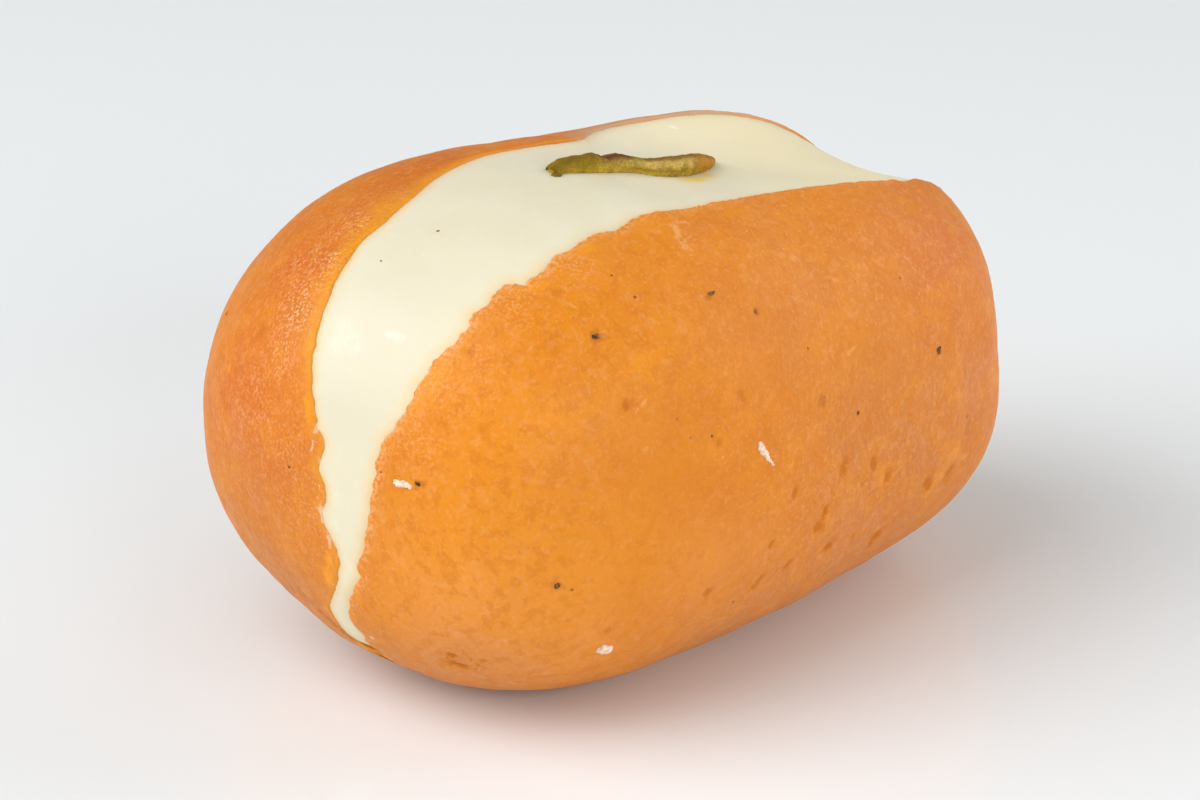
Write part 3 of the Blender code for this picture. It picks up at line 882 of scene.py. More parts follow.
@shared_effect("marks", "Mask", Place=None, Mark=None, Size=0.6, Softness=0.5)
def ragged_marks(nodes, place, mark, size, softness):
    """Ragged spots from each point's place in its mark."""
    parts = nodes.add("SeparateXYZ", {"Vector": mark}).outputs
    squares = [nodes.maths("MULTIPLY", parts[axis], parts[axis]) for axis in (0, 1)]
    away = nodes.maths("SQRT", nodes.maths("ADD", *squares))
    torn = nodes.ramp(nodes.noise(place, size, Detail=3.0), 0.25, 0.75, 0.5, 1.6)
    ragged = nodes.maths("MULTIPLY", away, torn)
    outer = nodes.ramp(ragged, nodes.maths("ADD", 1.0, softness), 1.0)
    inner = nodes.ramp(ragged, 1.0, nodes.maths("SUBTRACT", 1.0, softness))
    both = nodes.maths("MULTIPLY", nodes.maths("ADD", outer, inner), 0.5)
    return nodes.maths("MULTIPLY", both, parts[2])


@shared_effect("grain", "Height", Place=None, Coarse=1.0, Fine=0.25, Fine_Share=0.4)
def grain(nodes, place, coarse, fine, fine_share):
    """The height of a fine rough surface, from two sizes of noise."""
    broad, small = (nodes.noise(place, size, Detail=2.0) for size in (coarse, fine))
    return nodes.maths("ADD", broad, nodes.maths("MULTIPLY", small, fine_share))


def new_material(name, colour):
    """A material with a Principled shader, and the helper that adds nodes to it."""
    made = bpy.data.materials.new(name)
    made.use_nodes = True
    made.diffuse_color = (*colour, 1.0)
    return made, Nodes(made.node_tree), made.node_tree.nodes["Principled BSDF"].inputs


def new_food(name, colour):
    """A new material that knows its places in millimetres."""
    made, nodes, shader = new_material(name, colour)
    nodes.place = nodes.scaled(nodes.add("TexCoord").outputs["Object"], 1 / MM)
    return made, nodes, shader


def set_shader(nodes, shader, colour, **values):
    """Gives the shader its colour and values, which the caller names as its sockets are named."""
    for name, value in {"Base_Color": colour, **values}.items():
        nodes.give(shader[name.replace("_", " ")], value)


def add_grain(nodes, shader, height, depth, strength=1.0):
    """Adds fine relief of this depth, in millimetres, as a bump."""
    bump = nodes.add("Bump", {"Strength": strength, "Distance": depth * MM, "Height": height})
    nodes.give(shader["Normal"], bump.outputs["Normal"])


def crust_material(look):
    made, nodes, shader = new_food("fried_crust", look.crust)
    drawn = nodes.moved("MULTIPLY", nodes.place, (1.0, 1.0, 0.4))
    lively = nodes.ramp(nodes.mask("even"), 0.0, 1.0, 1.0, 0.4)
    grainy, blush = nodes.mask("grainy"), nodes.mask("blush")
    layers = [(nodes.effect(blotches, 6.0, 0.4, 0.62), 0.5, "deep")]
    # Glow and light are painted light; tan is the crust's own browner tone.
    layers += [(nodes.mask(name), 0.9, name) for name in ("glow", "light", "tan")]
    layers.append((blush, 0.9, "blush"))
    for where, effect, values, place, strength, over in (
        (lively, blotches, (2.6, 0.46, 0.66, 3.0), None, 0.40, "golden"),
        (lively, blotches, (1.0, 0.48, 0.64, 2.0), None, 0.45, "deep"),
        (lively, blotches, (0.8, 0.52, 0.72, 2.0), None, 0.22, "pale"),
        (lively, blotches, (0.38, 0.5, 0.7, 2.0), None, 0.40, "golden"),
        (lively, blotches, (0.32, 0.52, 0.74, 2.0), None, 0.28, "pale"),
        (lively, flecks, (1.5, 0.3, 0.25), None, 0.60, "golden"),
        (lively, flecks, (1.0, 0.3, 0.22), None, 0.32, "pale"),
        (lively, flecks, (1.2, 0.10, 0.16), None, 0.40, "shade"),
        (blush, blotches, (0.35, 0.48, 0.68, 2.0), drawn, 0.28, "pale"),
        (blush, blotches, (0.6, 0.52, 0.7, 2.0), drawn, 0.3, "golden"),
        # Painted highlight: glints of the lamps on the grains.
        (grainy, blotches, (0.24, 0.5, 0.62, 2.0), None, 0.9, "glint_and_crumb"),
        # Pale crumbs by the torn border, in the glints' colour.
        (nodes.mask("crumbly"), blotches, (0.3, 0.42, 0.6, 2.0), None, 0.7, "glint_and_crumb"),
        # Painted highlight: sparkles of sugar grains.
        (nodes.mask("sparkle"), flecks, (0.42, 0.35, 0.26), None, 1.0, "sparkle"),
    ):
        there = nodes.maths("MULTIPLY", where, nodes.effect(effect, *values, place=place))
        layers.append((there, strength, over))

    def spots(name, size, softness):
        return nodes.effect(ragged_marks, nodes.mask(name, "Vector"), size, softness)

    layers += (
        (spots("golden", 1.2, 0.7), 0.9, "amber"),
        (nodes.mask("streak"), 0.45, "pale"),
        # Painted shade in the wrinkles' troughs.
        (nodes.mask("furrow"), 0.6, "furrow"),
        (spots("pale", 0.5, 0.4), 0.8, "pale"),
        (nodes.mask("rim"), 0.8, "rim"),
        (nodes.mask("far_rim"), 0.8, "far_rim"),
        (spots("soaked", 0.7, 0.5), 0.9, "soaked"),
        # Stains, and the painted shadow in the crack where the cream ends.
        (spots("shade", 0.6, 0.4), 0.8, "shade"),
        (spots("smear", 0.4, 0.3), 0.95, "smear"),
    )
    layers = [(mask, strength, getattr(look, "crust_" + over)) for mask, strength, over in layers]
    dull = nodes.ramp(nodes.effect(blotches, 1.4, 0.35, 0.65), 0.0, 1.0, 0.06, -0.04)
    set_shader(
        nodes, shader, nodes.laid_over(look.crust, layers),
        Roughness=nodes.maths("ADD", dull, nodes.ramp(grainy, 0.0, 1.0, 0.46, 0.28)), Specular_IOR_Level=0.2,
        Subsurface_Weight=0.2, Subsurface_Radius=(1.0, 0.4, 0.15), Subsurface_Scale=0.7 * MM,
    )
    coarseness = nodes.ramp(grainy, 0.0, 1.0, 0.45, 1.6)
    height = nodes.maths("MULTIPLY", nodes.effect(grain, 0.42, 0.17, 0.4), coarseness)
    add_grain(nodes, shader, height, 0.13)
    return made


def cream_material(look):
    made, nodes, shader = new_food("cream", look.cream)
    layers = (
        (nodes.effect(blotches, 6.0, 0.38, 0.66), 0.5, look.cream_deep),
        (nodes.effect(blotches, 0.8, 0.5, 0.8), 0.3, look.cream_pale),
        (nodes.effect(flecks, 1.8, 0.3, 0.35), 0.4, look.cream_pale),
        # Painted light on the cream past the nut.
        (nodes.mask("far"), 1.0, look.cream_far_painted_light),
        # Painted shade where the cream faces the lamps.
        (nodes.mask("lit"), 1.0, look.cream_painted_shade),
        # Painted highlights on the cream.
        (nodes.mask("gleam"), 1.0, look.cream_gleam),
        (nodes.mask("stain"), 1.0, look.cream_stain),
        (nodes.mask("bleed"), 1.0, look.nut_bleed),
    )
    set_shader(
        nodes, shader, nodes.laid_over(look.cream, layers), Roughness=0.42, Specular_IOR_Level=0.4,
        Subsurface_Weight=0.45, Subsurface_Radius=(1.0, 0.75, 0.45), Subsurface_Scale=1.8 * MM,
    )
    add_grain(nodes, shader, nodes.effect(grain, 1.3, 0.4, 0.3), 0.03, 0.35)
    return made


def nut_material(look):
    made, nodes, shader = new_food("nut", look.nut)
    layers = (
        (nodes.effect(blotches, 0.7, 0.42, 0.66), 0.7, look.nut_dark),
        # Painted light low on the nut.
        (nodes.mask("low"), 1.0, look.nut_painted_light),
        (nodes.mask("heart"), 1.0, look.nut_pale),
        (nodes.mask("tip"), 1.0, look.nut_brown),
        (nodes.effect(blotches, 1.2, 0.45, 0.65), 0.5, look.nut_green),
        (nodes.mask("dark"), 0.8, look.nut_dark),
        (nodes.mask("skin"), 1.0, look.nut_skin),
        (nodes.effect(blotches, 0.16, 0.46, 0.6, 2.0), 0.35, look.nut_dark),
        (nodes.effect(flecks, 0.35, 0.3, 0.35), 0.4, look.nut_dark),
    )
    set_shader(
        nodes, shader, nodes.laid_over(look.nut, layers), Roughness=0.6, Specular_IOR_Level=0.12,
        Subsurface_Weight=0.15, Subsurface_Radius=(0.6, 0.6, 0.2), Subsurface_Scale=0.5 * MM,
    )
    add_grain(nodes, shader, nodes.effect(grain, 0.35, 0.1, 0.5), 0.09)
    return made


def bit_material(name, colour, deep, rough):
    """Finish of a crumb or speck: two tones in small blotches."""
    made, nodes, shader = new_food(name, colour)
    colour = nodes.laid_over(colour, [(nodes.effect(blotches, 0.3, 0.4, 0.6), 1.0, deep)])
    set_shader(
        nodes, shader, colour, Roughness=rough, Specular_IOR_Level=0.15,
        Subsurface_Weight=0.2, Subsurface_Scale=0.3 * MM,
    )
    add_grain(nodes, shader, nodes.effect(grain, 0.2, 0.08, 0.4), 0.03, 0.6)
    return made


def colour_of(name, description, default):
    return bpy.props.FloatVectorProperty(
        name=name, description=description, subtype="COLOR", size=3, min=0.0, max=1.0, default=default
    )


def small_length_of(name, description, millimetres):
    return bpy.props.FloatProperty(
        name=name, description=description, default=millimetres * MM, min=0.0, unit="LENGTH", precision=5
    )


def power_of(name, description, default):
    return bpy.props.FloatProperty(name=name, description=description, default=default, min=0.0, unit="POWER")


class SweetLook(bpy.types.PropertyGroup):
    """Colours of the sweet."""

    crust: colour_of("Crust", "Fried crust, in the main", (0.6364, 0.2021, 0.0112))
    crust_deep: colour_of("Deep crust", "Crust fried longer", (0.5676, 0.1591, 0.0069))
    # Painted shade in the wrinkles' troughs.
    crust_furrow: colour_of("Furrow", "The wrinkles' bottoms", (0.40, 0.105, 0.015))
    crust_amber: colour_of("Amber", "Syrup-soaked patches by the slit", (0.87, 0.33, 0.004))
    # Painted light on the front of the crust.
    crust_glow: colour_of("Glowing crust", "Crust lit through, at the front", (0.7654, 0.2752, 0.0138))
    # Painted light low at the front; the unseen side takes it too, as a paler crust.
    crust_light: colour_of("Light crust", "Paler crust low at the front", (0.80, 0.31, 0.065))
    crust_tan: colour_of("Brown crust", "Crust of the left lobe", (0.53, 0.094, 0.003))
    crust_blush: colour_of("Pale crust", "Crust of the far side", (0.50, 0.178, 0.066))
    crust_pale: colour_of("Pale spots", "Grains and wrinkles of the crust", (0.756, 0.36, 0.135))
    crust_golden: colour_of("Golden crust", "Crust that lets light through", (0.688, 0.2322, 0.0034))
    crust_soaked: colour_of("Soaked crust", "Pits full of syrup", (0.50, 0.130, 0.0004))
    # Painted highlight on the grains, and the pale crumbs by the torn border.
    crust_glint_and_crumb: colour_of("Glints", "Moist grains of the left lobe", (0.882, 0.468, 0.27))
    # Painted highlight on grains of sugar.
    crust_sparkle: colour_of("Sparkles", "Grains of sugar in the crust", (1.0, 0.62, 0.16))
    crust_rim: colour_of("Rim of the slit", "Thin crust beside the cream", (0.688, 0.258, 0.0103))
    crust_far_rim: colour_of("Far rim", "Browned rim over the top", (0.52, 0.33, 0.19))
    # Stains and dark pores, and the painted shadow in the crack where the cream ends.
    crust_shade: colour_of("Dark marks", "Cracks and stains of the crust", (0.3096, 0.0774, 0.0103))
    crust_smear: colour_of("Smear", "Cream rubbed over the crust", (0.774, 0.54, 0.342))
    cream: colour_of("Cream", "Thick cream, in the main", (0.728, 0.678, 0.5096))
    cream_deep: colour_of("Deep cream", "Yellower cream", (0.7007, 0.637, 0.4459))
    cream_pale: colour_of("Pale cream", "Curds in the cream", (0.7826, 0.7462, 0.6188))
    # Painted light on the cream past the nut.
    cream_far_painted_light: colour_of("Far cream", "Cream past the nut", (0.86, 0.755, 0.49))
    # Painted shade where the cream faces the lamps.
    cream_painted_shade: colour_of("Lit cream", "Cream that faces the light", (0.63, 0.58, 0.445))
    # Painted highlight: gleams of the lamps on the cream.
    cream_gleam: colour_of("Gleam", "Scuffs in the cream", (0.92, 0.90, 0.82))
    cream_stain: colour_of("Stained cream", "Cream coloured by the crust", (0.8008, 0.5642, 0.2912))
    nut: colour_of("Nut", "Flesh of the nut", (0.31, 0.178, 0.006))
    # Painted light: brighter low on the nut, where light comes up from the cream.
    nut_painted_light: colour_of("Low nut", "Brighter olive low on the nut", (0.54, 0.36, 0.04))
    nut_green: colour_of("Green nut", "Greener parts of the nut", (0.16, 0.135, 0.004))
    nut_dark: colour_of("Dark nut", "Green of the nut's outside", (0.1425, 0.0808, 0.0057))
    nut_pale: colour_of("Pale nut", "Middle of the cut nut", (0.60, 0.41, 0.105))
    nut_brown: colour_of("Brown tip", "Dried end of the nut", (0.5, 0.215, 0.015))
    nut_skin: colour_of("Nut skin", "Skin left on the nut's edge", (0.12, 0.03, 0.014))
    nut_bleed: colour_of("Bleed", "Cream coloured by the nut", (0.80, 0.56, 0.09))
    crumb: colour_of("Crumb", "Crumbs of dried milk", (0.84, 0.68, 0.56))
    crumb_deep: colour_of("Deep crumb", "Hollows of the crumbs", (0.74, 0.50, 0.36))
    speck: colour_of("Speck", "Burnt specks", (0.25, 0.095, 0.03))
    speck_deep: colour_of("Deep speck", "Blackest part of a burnt speck", (0.06, 0.024, 0.009))
    brown_speck: colour_of("Brown speck", "Browned specks", (0.56, 0.2, 0.05))


class SweetCrust(bpy.types.PropertyGroup):
    """Sizes of the crust's relief."""

    relief: bpy.props.FloatProperty(
        name="Relief", description="Share of the fine relief", default=1.0, min=0.0, max=3.0, subtype="FACTOR"
    )
    pit_depth: small_length_of("Pit depth", "Depth of a soaked pit", 0.2)
    wrinkle: small_length_of("Wrinkle", "Height of the wrinkles", 0.08)


class SweetNut(bpy.types.PropertyGroup):
    """Sizes of the nut sliver."""

    width: small_length_of("Width", "Width of the sliver", 1.6)


class SweetStage(bpy.types.PropertyGroup):
    """Floor and lights."""

    floor: colour_of("Floor", "The pale floor", (0.805, 0.826, 0.834))
    air: colour_of("Air", "Light from all round", (0.965, 0.985, 0.985))
    air_strength: bpy.props.FloatProperty(
        name="Air strength", description="Strength of the light from all round", default=0.3, min=0.0
    )
    key_power: power_of("Key light", "Power of the soft light from above on the left", 4.05)
    left_power: power_of("Left light", "Power of the light from the left and behind", 5.6)
    front_power: power_of("Front light", "Power of the low light from the front", 7.1)
    low_power: power_of("Low light", "Power of the low light from the right", 3.9)
    side_power: power_of("Side light", "Power of the light from the right", 1.7)


def toned(surface, places, tones):
    """Strength of the broad tones at each point: each fades with distance from its place."""
    total = np.zeros(len(places))
    for x, y, reach, strength in tones:
        away = length_of(places - np.array(place_on(surface, (x, y)).translation))[:, 0]
        total = np.maximum(total, strength * fading(away, reach * MM))
    return np.clip(total, 0, 1)


def marked(surface, places, marks):
    """Each point's place in the nearest mark, 1 at its border, and the mark's strength, or 0 far from it."""
    nearest = np.full((len(places), 3), FAR_OFF)
    nearest[:, 2] = 0.0
    least = np.full(len(places), np.inf)
    for x, y, length, width, turn, strength in marks:
        place = place_on(surface, (x, y), turn)
        near = length_of(places - np.array(place.translation))[:, 0] < (length / 2 + MARK_MARGIN) * MM
        there = np.array(place.inverted())
        local = (places[near] @ there[:3, :3].T + there[:3, 3])[:, :2] / MM / (length / 2, width / 2)
        away = np.hypot(*local.T)
        closer = away < least[near]
        found = np.flatnonzero(near)[closer]
        nearest[found, :2] = local[closer]
        nearest[found, 2] = strength
        least[found] = away[closer]
    return nearest


def depth_in(marks):
    """How much each point lies in its mark, from 0 to its strength."""
    return marks[:, 2] * (1 - rising(np.hypot(marks[:, 0], marks[:, 1]), 0.5, 1.0))


def crust_mesh():
    """The crust's points before its fine relief, its faces, and how much each point is skin, not slit."""
    grid, longitude = crust_grid()
    rows, columns = grid.shape[:2]
    from_root = np.abs(np.arange(rows) - rows // 2)
    steps = [2 ** sum(row - WALL_ROWS - LIP_ROWS > sparser for sparser in SPARSER) for row in from_root]
    points, skins, starts, count = [grid[0, :1]], [np.ones(1)], [0], 1
    opened = slit_edges(longitude)[2]
    for row in range(1, rows - 1):
        picked = slice(0, columns, steps[row])
        starts.append(count)
        points.append(grid[row, picked])
        skins.append(np.where(opened[picked], rising(from_root[row], WALL_ROWS + 1, LIP_ROWS), 1.0))
        count += len(points[-1])
    points.append(grid[-1, :1])
    skins.append(np.ones(1))

    def at(row, column):
        return starts[row] + column % columns // steps[row]

    faces = []
    for row in range(1, rows - 2):
        here, there = steps[row], steps[row + 1]
        wide = max(here, there)
        for column in range(0, columns, wide):
            beyond, half = column + wide, column + wide // 2
            near, far = at(row, column), at(row, beyond)
            near_below, far_below = at(row + 1, column), at(row + 1, beyond)
            if here == there:
                faces.append((near, far, far_below, near_below))
            elif here < there:
                middle = at(row, half)
                faces += (near, middle, near_below), (middle, far_below, near_below), (middle, far, far_below)
            else:
                middle = at(row + 1, half)
                faces += (near, middle, near_below), (near, far, middle), (far, far_below, middle)
    for column in range(0, columns, steps[1]):
        faces.append((0, at(1, column + steps[1]), at(1, column)))
        faces.append((at(rows - 2, column), at(rows - 2, column + steps[1]), count))
    raw = np.concatenate(points)
    return raw, faces_outwards(raw, faces), np.concatenate(skins)


def border_distance(raw):
    """How far each point is, in millimetres, from the slit's nearer border; that border's side; and where."""
    longitude = np.arange(SLIT[-1][0], SLIT[0][0], BORDER_STEP)
    spots = np.concatenate([points_at_width(longitude, edge)[0] for edge in borders(longitude)[:2]])
    tree = KDTree(len(spots))
    for number, spot in enumerate(spots):
        tree.insert(Vector(spot), number)
    tree.balance()
    number, distance = np.array([tree.find(Vector(point))[1:] for point in raw]).T
    number = number.astype(int)
    return distance, np.where(number < len(longitude), 1, -1), longitude[number % len(longitude)]


class SWEET_OT_crust(bpy.types.Operator):
    """Build the fried crust, slit over its top, with pores, pits and wrinkles"""

    bl_idname = "sweet.crust"
    bl_label = "Fried Crust"

    def execute(self, context):
        settings, look = context.scene.sweet_crust, context.scene.sweet_look
        raw, faces, skin = crust_mesh()
        places = in_place(raw)
        normals = normals_of(places, faces)
        form = outer_form()
        marks = {name: marked(form, places, table) for name, table in CRUST_MARKS}
        sunk = np.maximum(depth_in(marks["soaked"]), SHADE_DEPTH * depth_in(marks["shade"])) * skin
        low_on_left = rising(raw[:, 2], *LOW) * rising(raw[:, 1], *ON_LEFT)
        at_far_end = rising(raw[:, 0], *AT_FAR_END)
        crinkle = skin * sum(
            noise_at(raw * np.array(stretch), size, shift) * there
            for there, (stretch, size, shift) in zip((low_on_left, at_far_end), FOLDS)
        )
        distance, side, beside = border_distance(raw)
        left_side = side > 0
        relief = grains_at(raw, CRUST_GRAINS) * MM * settings.relief * skin
        relief += crinkle * settings.wrinkle
        relief -= sunk * settings.pit_depth
        relief += TORN_HEIGHT * MM * fading(distance, TORN_REACH) * noise_at(raw, *TORN_GRAIN) * skin
        places = places + normals * np.where(raw[:, 2] < FLAT_FOOT, 0.0, relief)[:, None]
        places[:, 2] = np.maximum(places[:, 2], 0.0)

        piece = new_piece("crust", places, faces, crust_material(look), "jamun_body")
        reach = np.where(left_side, curve_through(LEFT_RIM, beside), curve_through(RIGHT_RIM, beside))
        reach *= 1 + sum(height * noise_at(raw, size, RIM_SHIFT) for size, height in RIM_WAVES)
        far = rising(beside, *FAR_RIM_UP_TO) * rising(beside, *FAR_RIM_FROM) * left_side
        torn = [curve_through(shares, beside) for shares in (LEFT_TORN, RIGHT_TORN)]
        torn = np.where(left_side, LEFT_CRUMBLY_SHARE * torn[0], torn[1])
        unseen = rising(normals @ np.array(UNSEEN_FROM), *UNSEEN_TURN)
        tones = {name: toned(form, places, table) for name, table, *_ in CRUST_TONES}
        # The unseen side takes the colour of the painted light low at the front, as a paler crust.
        tones["light"] = np.maximum(tones["light"], UNSEEN_LIGHT * unseen)
        masks = {name: tones[name] * uneven(raw, *wavering) for name, _, *wavering in CRUST_TONES}
        masks |= {
            "rim": fading(distance, reach) * np.where(left_side, 1.0, RIGHT_RIM_SHARE) * (1 - far),
            "far_rim": fading(distance, FAR_RIM_REACH) * far,
            "crumbly": fading(distance, CRUMBLY_REACH) * torn * uneven(raw, *CRUMBLY),
            "streak": rising(crinkle, *STREAKS) * (1 - LOST_STREAKS * unseen),
            # Painted shade in the wrinkles' troughs.
            "furrow": rising(crinkle, *FURROW_SHADE) * (1 - LOST_FURROW_SHADE * unseen),
            "even": np.maximum(toned(form, places, EVEN), UNSEEN_EVEN * unseen),
        }
        add_masks(piece, masks)
        add_marks(piece, marks)
        return {"FINISHED"}


def cream_rings(longitude):
    """Rings of the cream at these longitudes: across its top, down one wall and up the other."""
    edges = dict(zip((1, -1), borders(longitude, torn=False)))
    plain = dict(zip((1, -1), slit_edges(longitude, ragged=False)))
    guide = {side: points_at_width(longitude, plain[side])[0] for side in (1, -1)}
    spots, outs = {}, {}
    for side in (1, -1):
        root, lip_foot, on_edge, past_lip, *_ = lip_at(longitude, edges[side] + side * CREAM_UNDER, side)
        outs[side] = unit(on_edge - (lip_foot + past_lip) / 2)
        spots[side] = lip_foot / 4 + on_edge / 2 + past_lip / 4 - outs[side] * UNDER_LIP
    down = unit(root - (guide[1] + guide[-1]) / 2)
    width = length_of(guide[-1] - guide[1])
    across = unit(guide[-1] - guide[1])
    stand = curve_through(CREAM_STAND, over_the_top(longitude))[:, None] * np.minimum(width / FULL_WIDTH, 1)
    sunk = guide[1] + down * CREAM_LEVEL

    def skin_at(travel):
        share = travel / width
        return sunk + across * travel - down * 4 * share * (1 - share) * stand

    travel = {side: ((spots[side] - sunk) * across).sum(1, keepdims=True) for side in (1, -1)}
    bend = {side: spots[side] - skin_at(travel[side]) for side in (1, -1)}
    ring = []
    for column in range(CREAM_COLUMNS):
        share = column / (CREAM_COLUMNS - 1)
        here = travel[1] + (travel[-1] - travel[1]) * share
        nearer = np.minimum(np.abs(here - travel[1]), np.abs(here - travel[-1]))
        bent = bend[1] * (1 - share) + bend[-1] * share
        ring.append(skin_at(here) + bent * fading(nearer, BORDER_REACH))
    left, right = (spots[side] - outs[side] * TUCK for side in (1, -1))
    walls = [column / CREAM_WALL_COLUMNS for column in range(CREAM_WALL_COLUMNS + 1)]
    ring += [right + (root - right) * share for share in walls[:-1]]
    ring += [root + (left - root) * share for share in walls]
    return np.array(ring), -down


class SWEET_OT_cream(bpy.types.Operator):
    """Build the cream, a wedge that runs through the sweet from foot to foot over the top"""

    bl_idname = "sweet.cream"
    bl_label = "Cream Filling"

    def execute(self, context):
        look = context.scene.sweet_look
        rings, outward = cream_rings(np.linspace(*reversed(CREAM_ENDS), CREAM_STATIONS))
        raw = rings.transpose(1, 0, 2)
        stations, columns = raw.shape[:2]
        lift = grains_at(raw.reshape(-1, 3), CREAM_GRAINS, CREAM_SHIFT).reshape(stations, columns)
        share = np.clip(np.arange(columns) / (CREAM_COLUMNS - 1), 0, 1)
        gentle = np.clip(8 * share * (1 - share), 0, 1)
        raw = raw + outward[:, None, :] * (lift * gentle)[:, :, None]
        raw, faces = closed_tube(raw.reshape(-1, 3), columns)
        places = in_place(raw)
        places[:, 2] = np.maximum(places[:, 2], 0.0)
        faces = faces_outwards(places, faces)
        piece = new_piece("cream", places, faces, cream_material(look), "cream_filling")
        own = surface_of("cream")
        masks = {
            "stain": fading(border_distance(raw)[0], STAIN_REACH) * uneven(raw, *STAINED),
            "far": rising(raw[:, 0], *FAR_CREAM),
            # Painted shade where the cream faces the lamps.
            "lit": toned(own, places, LIT),
            # Painted highlights on the cream.
            "gleam": toned(own, places, GLEAMS) * uneven(raw, *GLEAMING),
            "bleed": toned(own, places, BLEEDS) * uneven(raw, *BLEEDING),
        }
        add_masks(piece, masks)
        return {"FINISHED"}


class SWEET_OT_sliver(bpy.types.Operator):
    """Build the nut sliver that lies on the cream"""

    bl_idname = "sweet.sliver"
    bl_label = "Nut Sliver"

    def execute(self, context):
        settings, look = context.scene.sweet_nut, context.scene.sweet_look
        cream = surface_of("cream")
        right, up, _ = camera_axes()
        foot, crest = np.array(SLIVER_FOOT).T, np.array(SLIVER_CREST).T
        steps = (1 - np.cos(np.linspace(0, math.pi, SLIVER_STATIONS))) / 2
        x = foot[0][0] + (foot[0][-1] - foot[0][0]) * steps
        spots = [place_on(cream, pixel) for pixel in zip(x, np.interp(x, *foot))]
        along = (spots[-1].translation - spots[0].translation).normalized()
        rise = sum((spot.col[2].to_3d() for spot in spots), Vector()).normalized()
        back = rise.cross(along).normalized()
        rise = along.cross(back).normalized()
        if rise.z < 0:
            back, rise = -back, -rise

        x, steps = x[:, None], steps[:, None]
        angle = np.arange(SLIVER_SIDES) * 2 * math.pi / SLIVER_SIDES
        across, high = np.cos(angle), np.sin(angle)

        def waves(length, turns):
            """Noise with waves of this many pixels, and so many times faster round the sliver."""
            parts = np.broadcast_arrays(x / length, across * turns, high * turns)
            return noise_at(np.stack(parts, -1).reshape(-1, 3), 1.0).reshape(len(x), -1)

        def round_it(name, turned):
            middle, reach = SLIVER_ROUND[name]
            return fading(turned - middle, reach)

        def along_it(name):
            return math.prod(rising(x, *part) for part in SLIVER_ALONG[name])

        bottoms = np.array([spot.translation for spot in spots])
        fine = length_of(bottoms - np.array(EYE)) / FOCAL
        full = np.sqrt(np.maximum(1 - np.abs(2 * steps - 1) ** 24, 0.0))
        wide = settings.width * (full * (1 + 0.14 * waves(14, 0)[:, :1]) + 0.02)
        if back.dot(right) < 0:
            wide = np.minimum(wide, 0.03 * MM - (x - foot[0][0]) * fine / back.dot(right))
        crest_x = x + wide * back.dot(right) / fine
        seen = (np.interp(x, *foot) - np.interp(crest_x, *crest)) * fine
        tall = np.maximum((seen * 1.04 - wide * back.dot(up)) / rise.dot(up), 0.12 * MM) * (0.85 + 0.15 * full)
        power = SLIVER_SQUARENESS
        square = (np.abs(across) ** power + np.abs(high) ** power) ** (-1 / power)
        rough = 1 + sum(height * waves(length, turns) for length, turns, height in SLIVER_WAVES)
        fold = round_it("fold", np.degrees(angle)) * along_it("fold")
        reach = square * (rough - SLIVER_FOLD * fold)
        out = wide * (0.5 + 0.5 * across * reach)
        height = np.maximum(tall * (0.5 + 0.5 * high * reach), -0.02 * MM) - SLIVER_SUNK * MM * (high < -0.5)
        places = bottoms[:, None] + out[:, :, None] * np.array(back) + height[:, :, None] * np.array(rise)

        front = np.degrees(angle) + 8 * waves(6, 1)
        top, skinned, brown_half = round_it("top", front), along_it("skin"), along_it("brown half")
        khaki = 0.75 * round_it("khaki", front) * along_it("khaki")
        below = 0.35 * round_it("below", front) * brown_half
        masks = {
            "skin": top * np.maximum(skinned, 0.35 * brown_half),
            "heart": round_it("heart", front) * along_it("heart") * (1 - top * skinned),
            "tip": along_it("tip") * np.ones(SLIVER_SIDES),
            # Painted light low on the nut.
            "low": round_it("low", front) * np.maximum(along_it("low"), 0.5),
            "dark": np.maximum(np.maximum(0.5 * fold, khaki), below),
        }
        places, faces = closed_tube(places.reshape(-1, 3), SLIVER_SIDES)
        faces = faces_outwards(places, faces)
        x, y, *drip = SLIVER_DRIP
        shred = bmesh.new()
        blob(shred, place_on(cream, (x, y), 20.0), drip, x, 0.5)
        faces = [*faces, *([vertex.index + len(places) for vertex in face.verts] for face in shred.faces)]
        dripped = [vertex.co.copy() for vertex in shred.verts]
        shred.free()
        places = np.concatenate([places, dripped])
        piece = new_piece("nut_sliver", places, faces, nut_material(look), "pistachio_sliver")
        for name, values in masks.items():
            masks[name] = [*values.ravel(), *values[[0, -1], 0], *[float(name == "dark")] * len(dripped)]
        add_masks(piece, masks)
        return {"FINISHED"}


def blob(bm, place, size, seed, roughness):
    """Adds a rough pebble to a mesh: a ball drawn out by size along a place's axes, with noise on it."""
    made = bmesh.ops.create_icosphere(bm, subdivisions=BLOB_FINENESS, radius=1.0)
    half = [length / 2 * MM for length in size]
    for vertex in made["verts"]:
        push = 1 + roughness * noise.noise(vertex.co * 1.3 + Vector((seed, 0, 0)))
        push += roughness * 0.5 * noise.noise(vertex.co * 3.1 + Vector((0, seed, 0)))
        vertex.co = place @ Vector([part * reach * push for part, reach in zip(vertex.co, half)])


def finish_bits(name, bm, finish, grain_size=None):
    """Makes an object of loose bits, melted together at the size of a grain where one is given."""
    mesh = bpy.data.meshes.new(name)
    bm.to_mesh(mesh)
    bm.free()
    piece = add_object(name, mesh)
    if grain_size:
        melt = piece.modifiers.new("melt", "REMESH")
        melt.mode = "VOXEL"
        melt.voxel_size = grain_size
        whole = bpy.data.meshes.new_from_object(piece.evaluated_get(bpy.context.evaluated_depsgraph_get()))
        piece.modifiers.clear()
        piece.data = whole
        whole.name = name
    piece.data.shade_smooth()
    piece.data.materials.clear()
    piece.data.materials.append(finish)
    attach(piece, BODY)


